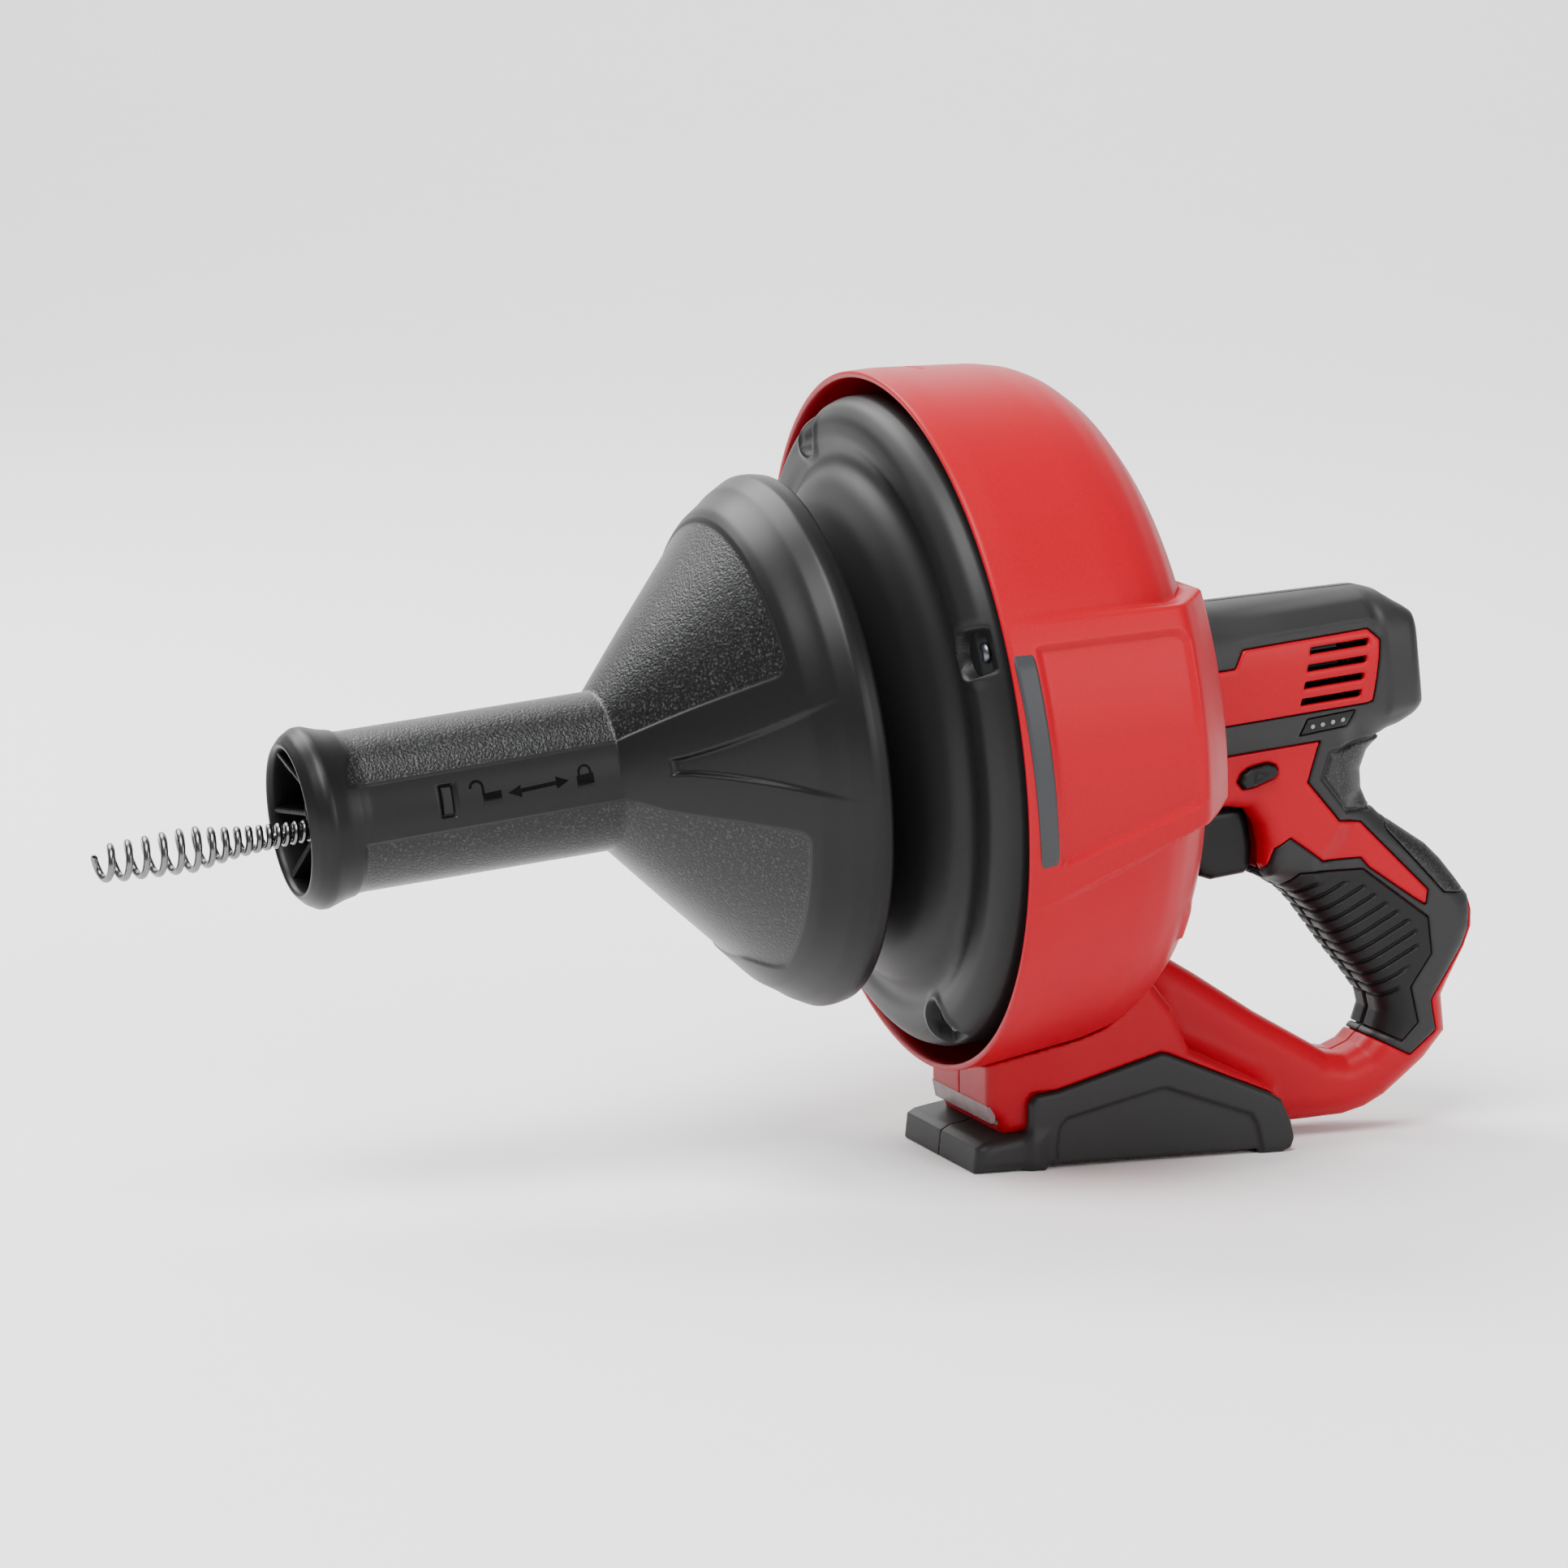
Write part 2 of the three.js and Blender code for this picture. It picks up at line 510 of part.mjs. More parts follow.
const footHalf = (side) => {
  const outerX = side * FOOT_HALF;
  const span = (from) => [Math.min(side * from, outerX), Math.max(side * from, outerX)];
  const plate = slab(polygon(plateOutline), ...span(FOOT_PLATE_INNER), 0);
  const pad = slab(polygon(frontPadOutline), ...span(SPLIT));
  const rearSole = slab(polygon([[164.3, 0], [173.3, 0], [173.3, 1.7], [164.3, 1.7]]), ...span(18));
  return union(plate, pad, rearSole);
};

// ---------------------------------------------------------------- placing every piece

place('drum_shroud', shroud(), redPlastic);
place('left_housing', housingHalf(1), redPlastic);
place('right_housing', housingHalf(-1), redPlastic);
for (const [name, side] of [['left', 1], ['right', -1]]) {
  place(`${name}_side_bumper`, bumper(side, SHROUD_R + 0.9), greyRubber);
  place(`${name}_handle_skin`, skin(side), blackPlastic);
  place(`${name}_grip_panel`, gripPanel(side), blackRubber);
  place(`${name}_palm_pad`, skinPad(palmPadOutline, side), blackRubber);
  place(`${name}_foot`, footHalf(side), blackRubber, machine);
}

place('front_drum_cover', frontCover(), blackPlastic);
place('rear_drum_shell', rearShell(), blackPlastic);
screwSpots.forEach(([x, h], i) => {
  place(`drum_screw_${i + 1}`, panScrew(3.9, -4.2, 1.7, 26, x, h), darkSteel);
});
place('nose_tube', noseTube(), darkSteel);
place('cable_guide', guideTube(), brightSteel);
place('cable_coil', turned([[64, 30], [68, 26], [99, 26], [103, 30], [103, 50], [97, 58],
  [64, 58]], DRUM_SIDES), brightSteel);
jawAngles.forEach((angle, i) => {
  place(`chuck_jaw_${i + 1}`, jawBlock(angle, 7.4, 17, 5.4, -180.6, -167.4), darkSteel);
});

place('straight_cable', rod(CABLE_R, AUGER_START, CABLE_BREAK - 6.4, 12, 0, CABLE_SAG), brightSteel);
place('auger_head', wire(augerRoute(), 1.2, 100, 5), brightSteel);
place('funnel_grip', funnelGrip(), blackPlastic);
place('grip_front_bush', tube(NOSE_R + GAP, 17.3, -158, -148, 24), bronze);
place('grip_rear_bush', tube(NOSE_R + GAP, 17.3, -124, -114, 24), bronze);
place('lock_window', block(22.8, 28, -179.5, -174.9, -1.7, 8.7), greyRubber);

place('drive_shaft', rod(SHAFT_R, 52, 92.6, 20), darkSteel);
place('drum_bearing', tube(SHAFT_R + GAP, 13.6, 80.2, 85.8, 24), brightSteel);
place('gear_case', turned([[SHAFT_R + 0.6, 86.2], [19.1, 86.2], [19.1, 117.6], [16.4, 117.6],
  [16.4, 90], [SHAFT_R + 0.6, 90]], 24), darkSteel);
place('planet_carrier', union(rod(13, 93, 96.6, 24), ...[0, 120, 240].map((degrees) => {
  const angle = THREE.MathUtils.degToRad(degrees);
  return rod(PIN_R, 96, 108.4, 10, PLANET_ORBIT * Math.cos(angle), PLANET_ORBIT * Math.sin(angle));
})), darkSteel);

const ringTeeth = column(polygon(gearPoints(RING_TEETH, RING_TEETH / 2 + TOOTH_ROOT,
  RING_TEETH / 2 - TOOTH_TIP, Math.PI / RING_TEETH)), GEAR_FRONT - 1, GEAR_BACK + 1);
place('ring_gear', rod(RING_GEAR_R, GEAR_FRONT, GEAR_BACK, 60).subtract(ringTeeth), darkSteel);
[0, 120, 240].forEach((degrees, i) => {
  const angle = THREE.MathUtils.degToRad(degrees);
  const outline = polygon(gearPoints(PLANET_TEETH, PLANET_TEETH / 2 - TOOTH_ROOT,
    PLANET_TEETH / 2 + TOOTH_TIP, angle));
  const blank = column(outline, GEAR_FRONT, GEAR_BACK);
  const gear = blank.subtract(rod(PIN_R + GAP, GEAR_FRONT - 1, GEAR_BACK + 1, 12));
  const moved = gear.translate([PLANET_ORBIT * Math.cos(angle), 0, PLANET_ORBIT * Math.sin(angle)]);
  place(`planet_gear_${i + 1}`, moved, brightSteel);
});
const pinion = column(polygon(gearPoints(SUN_TEETH, SUN_TEETH / 2 - TOOTH_ROOT,
  SUN_TEETH / 2 + TOOTH_TIP)), GEAR_FRONT, 112);
place('motor_pinion', pinion.subtract(rod(PIN_R + GAP, 90, 120, 12)), brightSteel);
place('motor_rotor', turned([[0, 97.4], [PIN_R, 97.4], [PIN_R, 127], [12.5, 127], [12.5, 158],
  [PIN_R, 158], [PIN_R, 176], [0, 176]], 28), darkSteel);
place('motor_can', turned([[3, 120], [17.9, 120], [17.9, 167], [3, 167], [3, 164.5], [15.5, 164.5],
  [15.5, 122.5], [3, 122.5]], 24), darkSteel);
const fanBlades = [0, 1, 2, 3, 4, 5, 6, 7].map((i) => {
  const blade = new THREE.BoxGeometry(1.2, 4.6, 10.4).translate(0, 172, 9.4);
  return solid(blade.rotateY(i * Math.PI / 4));
});
place('cooling_fan', union(tube(PIN_R + GAP, 4.6, 169, 175, 20), ...fanBlades), blackPlastic);
shroudScrewSpots.forEach(([x, h], i) => {
  place(`shroud_screw_${i + 1}`, panScrew(3.6, 78.3, 1.4, 16, x, h), darkSteel);
});

place('trigger', slab(polygon(triggerOutline), -10.6, 10.6, 1.5).add(
  block(-3, 3, 129, 136.5, -64, -57)), blackPlastic);
place('direction_selector', slab(polygon(selectorOutline), -24, 24), blackRubber);
place('trigger_switch', block(-8, 8, 145, 168, -70, -47), blackPlastic);
place('control_board', block(-1, 1, 180, 196, -123, -89), boardGreen);
place('battery_pack', slab(polygon([[87.3, 3], [87.3, 27], [150.3, 27], [150.3, 3]]), -24, 24, 2),
  blackPlastic, machine);
place('battery_contacts', slab(polygon([[90.3, 27.7], [90.3, 34], [100.3, 34], [100.3, 27.7]]), -8, 8),
  brightSteel, machine);
place('work_light_lens', slab(polygon([[61.9, 16.9], [63.1, 16.9], [63.1, 22.5], [61.2, 22.5]]
  ), -29, 29), clearLens, machine);
place('light_board', slab(polygon([[64.3, 16], [66.1, 16], [66.1, 24], [64.3, 24]]), -27, 27),
  boardGreen, machine);
place('battery_gauge', outerBody.intersect(skinSpace(1, 0)).intersect(
  region(gaugeOutline, 1, 0, 20)), greyRubber);
housingScrews.forEach(([s, h], i) => {
  const shank = crossbar(1.5, SCREW_HEAD_X - 1, 10, s, h, 10);
  const head = crossbar(3, SCREW_HEAD_X - 2.4, SCREW_HEAD_X, s, h, 12);
  place(`housing_screw_${i + 1}`, union(shank, head), darkSteel);
});

export default machine;
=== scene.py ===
import json
import math

import bpy
import numpy as np
from mathutils import Matrix, Vector


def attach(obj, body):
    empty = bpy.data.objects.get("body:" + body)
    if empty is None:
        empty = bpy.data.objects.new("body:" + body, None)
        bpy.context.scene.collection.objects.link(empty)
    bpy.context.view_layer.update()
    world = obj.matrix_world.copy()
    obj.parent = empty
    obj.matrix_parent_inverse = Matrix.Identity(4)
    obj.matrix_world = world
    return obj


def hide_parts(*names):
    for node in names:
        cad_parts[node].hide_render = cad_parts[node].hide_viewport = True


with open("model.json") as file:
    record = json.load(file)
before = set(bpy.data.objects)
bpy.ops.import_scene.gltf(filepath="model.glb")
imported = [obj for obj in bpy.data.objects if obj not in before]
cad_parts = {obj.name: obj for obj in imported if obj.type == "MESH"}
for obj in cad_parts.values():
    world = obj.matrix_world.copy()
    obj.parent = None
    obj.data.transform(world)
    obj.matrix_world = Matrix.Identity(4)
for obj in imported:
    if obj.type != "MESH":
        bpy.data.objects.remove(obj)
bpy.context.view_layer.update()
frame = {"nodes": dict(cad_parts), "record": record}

# The drum's axis: every piece is drawn in (x, s, h) mm, with s rearward along the axis and h
# square to it, upward.
PITCH = math.radians(6)
AXIS_Y = 35.26
AXIS_Z = 160.2
COS, SIN = math.cos(PITCH), math.sin(PITCH)

# ---------------------------------------------------------------- camera

CAMERA_AT = Vector((2.2174, -0.8163, 0.5068))
CAMERA_AIM = Vector((-0.0105, -0.0033, 0.1382))
camera_data = bpy.data.cameras.new("camera")
camera_data.lens = 153.5
camera_data.sensor_width = 36
camera_data.clip_end = 30
camera = bpy.data.objects.new("camera", camera_data)
camera.location = CAMERA_AT
camera.rotation_mode = "QUATERNION"
camera.rotation_quaternion = (CAMERA_AIM - CAMERA_AT).to_track_quat("-Z", "Y")
bpy.context.scene.collection.objects.link(camera)
bpy.context.scene.camera = camera

# ---------------------------------------------------------------- materials

# Where along the noise the shade changes, and where the painted glint on a grain's tips starts.
SHADE_FROM, SHADE_TO = 0.3, 0.7
GLINT_FROM, GLINT_TO = 0.56, 0.68


def material(name, colour, roughness, metallic=0.0, grain=0.0, size=0.8, vary=0.08,
             gloss_vary=0.05, specular=0.5, painted_glint=0.0):
    """A procedural finish: noise varies its shade and gloss a little and raises its grain.

    size is the grain's width in mm and grain its height in mm. The last argument is the pale
    shade painted on the grain's tips as a glint.
    """
    made = bpy.data.materials.new(name)
    made.use_nodes = True
    tree = made.node_tree
    shader = tree.nodes["Principled BSDF"]
    place = tree.nodes.new("ShaderNodeTexCoord")
    noise = tree.nodes.new("ShaderNodeTexNoise")
    noise.inputs["Scale"].default_value = 1000 / size
    noise.inputs["Detail"].default_value = 3.0
    tree.links.new(place.outputs["Object"], noise.inputs["Vector"])
    ramp = tree.nodes.new("ShaderNodeValToRGB")
    ramp.color_ramp.elements[0].position = SHADE_FROM
    ramp.color_ramp.elements[1].position = GLINT_FROM if painted_glint else SHADE_TO
    ramp.color_ramp.elements[0].color = (*[c * (1 - vary) for c in colour], 1)
    ramp.color_ramp.elements[1].color = (*[min(1, c * (1 + vary)) for c in colour], 1)
    # Painted glint: the grain's raised tips are coloured pale.
    if painted_glint:
        tip = ramp.color_ramp.elements.new(GLINT_TO)
        tip.color = (painted_glint, painted_glint, painted_glint, 1)
    tree.links.new(noise.outputs["Fac"], ramp.inputs["Fac"])
    tree.links.new(ramp.outputs["Color"], shader.inputs["Base Color"])
    gloss = tree.nodes.new("ShaderNodeMapRange")
    gloss.inputs["To Min"].default_value = roughness - gloss_vary
    gloss.inputs["To Max"].default_value = roughness + gloss_vary
    tree.links.new(noise.outputs["Fac"], gloss.inputs["Value"])
    tree.links.new(gloss.outputs["Result"], shader.inputs["Roughness"])
    shader.inputs["Metallic"].default_value = metallic
    shader.inputs["Specular IOR Level"].default_value = specular
    if grain:
        bump = tree.nodes.new("ShaderNodeBump")
        bump.inputs["Strength"].default_value = 1.0
        bump.inputs["Distance"].default_value = grain / 1000
        tree.links.new(noise.outputs["Fac"], bump.inputs["Height"])
        tree.links.new(bump.outputs["Normal"], shader.inputs["Normal"])
    return made


red = material("red_plastic", (0.35, 0.0002, 0.0090), 0.38, grain=0.010, size=0.5, specular=0.14)
black = material("black_plastic", (0.0075, 0.0075, 0.0080), 0.46, grain=0.012, size=0.45,
                 specular=0.22)
smooth_black = material("smooth_black_plastic", (0.0050, 0.0050, 0.0055), 0.38, grain=0.006,
                        size=0.6, specular=0.20)
# The coarse grain's tips carry a painted glint.
coarse_black = material("coarse_black_plastic", (0.0030, 0.0030, 0.0033), 0.32, grain=0.30,
                        size=0.95, vary=0.5, gloss_vary=0.1, specular=0.30, painted_glint=0.034)
soft_black = material("soft_black_plastic", (0.0130, 0.0130, 0.0138), 0.50, grain=0.014, size=0.45,
                      specular=0.30)
rubber = material("black_rubber", (0.0050, 0.0050, 0.0055), 0.48, grain=0.02, size=0.5,
                  specular=0.22)
# The rubber grain's tips carry a painted glint.
grained_rubber = material("grained_rubber", (0.0055, 0.0055, 0.0060), 0.46, grain=0.20, size=0.8,
                          vary=0.4, specular=0.4, painted_glint=0.040)
grey = material("grey_rubber", (0.020, 0.021, 0.024), 0.45, grain=0.012, size=0.6, specular=0.4)
steel = material("bright_steel", (0.15, 0.15, 0.155), 0.24, metallic=1, grain=0.004, size=0.8)
dark_steel = material("dark_steel", (0.10, 0.11, 0.12), 0.34, metallic=1, grain=0.004, size=0.8)
lens = material("clear_lens", (0.17, 0.115, 0.115), 0.25, grain=0.004, size=7, vary=0.16,
                specular=0.3)
bronze = material("sintered_bronze", (0.40, 0.23, 0.08), 0.42, metallic=1, grain=0.01, size=0.5)
board = material("circuit_board", (0.012, 0.10, 0.04), 0.42, grain=0.006, size=0.8)
# Painted shade: near black stands for the shadow on the red floors deep in the cooling vents.
painted_vent_shade = material("vent_shadow", (0.003, 0.003, 0.003), 0.7, grain=0.01, size=0.8, specular=0.1)
led = material("led_window", (0.20, 0.21, 0.22), 0.25, grain=0.004, size=0.7)
gloss_mark = material("gloss_mark", (0.0015, 0.0015, 0.0015), 0.10, grain=0.003, size=0.8,
                      specular=0.2)
pale = material("floor_white", (0.92, 0.92, 0.92), 0.7, size=40, vary=0.004, specular=0.1)

SLOT_FINISH = {
    "red_plastic": red, "black_plastic": black, "black_rubber": rubber, "grey_rubber": grey,
    "bright_steel": steel, "dark_steel": dark_steel, "clear_lens": lens, "sintered_bronze": bronze,
    "circuit_board": board,
}
SLOT_OF_NODE = {p["node"]: p["material_slot"] for p in frame["record"]["subparts"]}
BODY_OF_NODE = {n: b for b, nodes in frame["record"]["behaviour"]["bodies"].items() for n in nodes}

# ---------------------------------------------------------------- meshes


def to_world(points):
    """Points (x, s, h) in mm as world points in metres."""
    x, s, h = np.moveaxis(np.asarray(points, float), -1, 0)
    return np.stack([x, AXIS_Y + s * COS - h * SIN, AXIS_Z + s * SIN + h * COS], -1) / 1000


def upright(points):
    """Points (y, z from the floor) in mm as (s, h)."""
    return [((y - AXIS_Y) * COS + (z - AXIS_Z) * SIN, (z - AXIS_Z) * COS - (y - AXIS_Y) * SIN)
            for y, z in points]


def piece(name, points, faces, finishes, node=None, body=None, slot=None, zones=None):
    """A smooth mesh of (x, s, h) points that rides on a CAD body and stands for its node."""
    mesh = bpy.data.meshes.new(name)
    mesh.from_pydata(to_world(points).tolist(), [], [list(map(int, f)) for f in faces])
    for finish in finishes:
        mesh.materials.append(finish)
    if zones is not None:
        mesh.polygons.foreach_set("material_index", np.asarray(zones, np.int32))
    mesh.polygons.foreach_set("use_smooth", [True] * len(mesh.polygons))
    mesh.update()
    made = bpy.data.objects.new(name, mesh)
    bpy.context.scene.collection.objects.link(made)
    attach(made, body or BODY_OF_NODE[node])
    if node:
        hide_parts(node)
    return made


def face_centres(points, faces):
    """The middle of each face; faces are all quads or all triangles."""
    return np.asarray(points)[np.asarray(faces)].mean(1)


def polygon_distance(outline, a, b):
    """Distance in mm to a closed outline, negative inside it."""
    a, b = np.broadcast_arrays(a, b)
    nearest = np.full(a.shape, 1e9)
    inside = np.zeros(a.shape, bool)
    for (a0, b0), (a1, b1) in zip(outline, [*outline[1:], outline[0]]):
        run, rise = a1 - a0, b1 - b0
        t = np.clip(((a - a0) * run + (b - b0) * rise) / (run * run + rise * rise), 0, 1)
        nearest = np.minimum(nearest, (a - a0 - t * run) ** 2 + (b - b0 - t * rise) ** 2)
        if rise:
            crossing = (b0 > b) != (b1 > b)
            inside ^= crossing & (a < run * (b - b0) / rise + a0)
    return np.where(inside, -1, 1) * np.sqrt(nearest)


def slab(outline, s, h, across, half, corner):
    """An outline in side view given a width of 2 * half, its edges rounded."""
    u = polygon_distance(outline, s, h) + corner
    v = np.abs(across) - half + corner
    return np.minimum(np.maximum(u, v), 0) + np.hypot(np.maximum(u, 0), np.maximum(v, 0)) - corner


def blend_in(a, b, k):
    """The union of two fields with a fillet of about k mm."""
    t = np.clip(0.5 + 0.5 * (b - a) / k, 0, 1)
    return b + (a - b) * t - k * t * (1 - t)


def cut_to(a, b, k):
    """The intersection of two fields with a rounded edge of about k mm."""
    return -blend_in(-a, -b, k)


def smooth(value, low, high):
    """0 below low, 1 above high and a smooth step between them."""
    t = np.clip((value - low) / (high - low), 0, 1)
    return t * t * (3 - 2 * t)


FAR = 99.0
CORNERS = [(i, j, k) for i in (0, 1) for j in (0, 1) for k in (0, 1)]
EDGES = [(a, b) for a in CORNERS for b in CORNERS
         if sum(abs(p - q) for p, q in zip(a, b)) == 1 and a < b]


def net(field, low, high, step):
    """Points and quads on the zero level of a field of (x, s, h), found on a grid."""
    axes = [np.arange(a, b + step, step) for a, b in zip(low, high)]
    x, s, h = np.meshgrid(*axes, indexing="ij", sparse=True)
    value = np.broadcast_to(field(x, s, h), [len(a) for a in axes]).astype(np.float32)
    inside = value < 0
    counts = sum(inside[i:i - 1 or None, j:j - 1 or None, k:k - 1 or None].astype(np.uint8)
                 for i, j, k in CORNERS)
    cells = np.argwhere((counts > 0) & (counts < 8))
    total = np.zeros((len(cells), 3))
    crossings = np.zeros(len(cells))
    for a, b in EDGES:
        va = value[tuple((cells + a).T)]
        vb = value[tuple((cells + b).T)]
        crossed = (va < 0) != (vb < 0)
        t = np.where(crossed, va / np.where(crossed, va - vb, 1), 0)
        spot = cells + np.array(a) + t[:, None] * (np.array(b) - np.array(a))
        total[crossed] += spot[crossed]
        crossings += crossed
    points = np.array([a[0] for a in axes]) + step * total / crossings[:, None]
    number = np.full(counts.shape, -1, np.int32)
    number[tuple(cells.T)] = np.arange(len(cells))
    quads = []
    for d in range(3):
        ahead = [slice(None)] * 3
        behind = [slice(None)] * 3
        ahead[d], behind[d] = slice(1, None), slice(None, -1)
        starts, ends = inside[tuple(behind)], inside[tuple(ahead)]
        u, v = np.eye(3, dtype=int)[[(d + 1) % 3, (d + 2) % 3]]
        for goes_out in (True, False):
            found = np.argwhere((starts & ~ends) if goes_out else (~starts & ends))
            keep = np.all(found[:, [(d + 1) % 3, (d + 2) % 3]] > 0, axis=1)
            keep &= np.all(found < np.array(counts.shape), axis=1)
            found = found[keep]
            ring = [found - u - v, found - v, found, found - u]
            if not goes_out:
                ring.reverse()
            quads.append(np.stack([number[tuple(c.T)] for c in ring], 1))
    quads = np.concatenate(quads)
    return settle(field, points, step), quads[(quads >= 0).all(1)]


def settle(field, points, step):
    """Points moved onto the zero level of the field, none by as much as a step."""
    probe = 0.05
    p = points.copy()
    for _ in range(2):
        here = field(*p.T)
        slopes = np.stack([(field(*(p + d).T) - here) / probe for d in np.eye(3) * probe], 1)
        size = np.maximum((slopes ** 2).sum(1), 0.2)
        p -= np.clip(here / size, -step, step)[:, None] * slopes * 0.8
    drift = p - points
    reach = np.linalg.norm(drift, axis=1, keepdims=True)
    return points + drift * np.minimum(1, 0.8 * step / np.maximum(reach, 1e-9))


def mirrored(points, faces):
    """The same mesh for the right side."""
    return points * np.array([-1, 1, 1]), faces[:, ::-1]


def softened(line, reach, width):
    """A line of points with its corners softened; reach and width are counted in points."""
    weights = np.exp(-0.5 * (np.arange(-reach, reach + 1) / width) ** 2)
    weights /= weights.sum()
    padded = np.concatenate([2 * line[0] - line[reach:0:-1], line,
                             2 * line[-1] - line[-2:-reach - 2:-1]])
    return np.stack([np.convolve(column, weights, "valid") for column in padded.T], 1)


def resampled(profile, spacing, soften=0.0):
    """An open profile walked at an even spacing, its corners softened over about `soften` mm."""
    profile = np.asarray(profile, float)
    lengths = np.concatenate([[0], np.cumsum(np.linalg.norm(np.diff(profile, axis=0), axis=1))])
    count = max(2, int(round(lengths[-1] / spacing)))
    walk = np.linspace(0, lengths[-1], count + 1)
    line = np.stack([np.interp(walk, lengths, profile[:, i]) for i in range(profile.shape[1])], 1)
    if soften:
        line = softened(line, math.ceil(2 * soften / spacing), soften / spacing)
    return line


def grid_faces(rings, sides, closed):
    """Quads of a grid of rings x sides points, wrapped round its sides, and its rings if closed."""
    i = np.arange(rings if closed else rings - 1)[:, None]
    j = np.arange(sides)[None, :]
    a = i * sides + j
    b = i * sides + (j + 1) % sides
    c = ((i + 1) % rings) * sides + (j + 1) % sides
    d = ((i + 1) % rings) * sides + j
    return np.stack([a, b, c, d], -1).reshape(-1, 4)


def turned(profile, sides, shape=None):
    """Points [ring, side, (x, s, h)] of a profile of (s, R) turned round the axis.

    shape(s, R, angle) may move the grid; angles run from +h towards +x.
    """
    angle = np.linspace(0, 2 * math.pi, sides, endpoint=False)[None, :]
    s = np.repeat(profile[:, :1], sides, 1)
    r = np.repeat(profile[:, 1:], sides, 1)
    if shape:
        s, r = shape(s, r, np.repeat(angle, len(profile), 0))
    return np.stack([r * np.sin(angle), s, r * np.cos(angle)], -1)


def joined(*parts):
    """Several (points, faces) as one."""
    points, faces, count = [], [], 0
    for p, f in parts:
        points.append(np.asarray(p, float).reshape(-1, 3))
        faces.append(np.asarray(f) + count)
        count += len(points[-1])
    return np.concatenate(points), np.concatenate(faces)


def wire(route, radius, sides=10):
    """A round wire along a route of (x, s, h), with rounded ends."""
    route = np.asarray(route, float)
    along = np.gradient(route, axis=0)
    along /= np.linalg.norm(along, axis=1, keepdims=True)
    side = np.cross(along, [0, 1, 0.001])
    side /= np.linalg.norm(side, axis=1, keepdims=True)
    other = np.cross(along, side)
    turn = np.linspace(0, 2 * math.pi, sides, endpoint=False)
    sizes = np.full(len(route), float(radius))
    sizes[[0, -1]] = radius * 0.35
    sizes[[1, -2]] = radius * 0.8
    loops = (route[:, None] + sizes[:, None, None] * (np.cos(turn)[None, :, None] * side[:, None]
             + np.sin(turn)[None, :, None] * other[:, None]))
    return loops.reshape(-1, 3), grid_faces(len(route), sides, False)

# ---------------------------------------------------------------- drum shroud

# Profiles are lists of (s, R); outlines seen from the side are lists of (s, h).
SHROUD_BASE = [(0, 127), (10, 126.9), (45, 123.6), (55, 121.4), (62.5, 117.6), (70.5, 110.6),
               (77.3, 100.5), (82, 88), (84.2, 74), (84.3, 60), (84.3, 14.2)]
SHROUD_PAD = [(0, 127.1), (10, 127.2), (45, 127.2), (56, 127.2), (66.5, 127), (74, 118.5),
              (83.6, 105.5), (84.2, 95), (84.3, 74), (84.3, 60), (84.3, 14.2)]
SHROUD_INSIDE = [(81, 14.2), (81, 76), (73.8, 98.6), (67.6, 108.2), (60.4, 115.2), (45, 121),
                 (10, 124.2), (0, 124.6)]
# The raised pad's upper and lower edge, as h at each s.
PAD_TOP = ([5, 67], [48.9, 47.0])
PAD_FOOT = ([5.6, 39.2, 65.9, 84], [-49, -38.2, -29.3, -25])
PANEL = [(10.6, 40.6), (62.3, 39.0), (65.9, 35.8), (64.6, -18.9), (63, -21.6), (11.4, -35.8)]
PANEL_DEPTH = 1.7
NOTCH_S = 21
NOTCH_X = -4
NOTCH_DEPTH = 1.6
LEDGE_HEIGHT = 1.5
SHROUD_SIDES = 960
SHROUD_STEP = 1.3


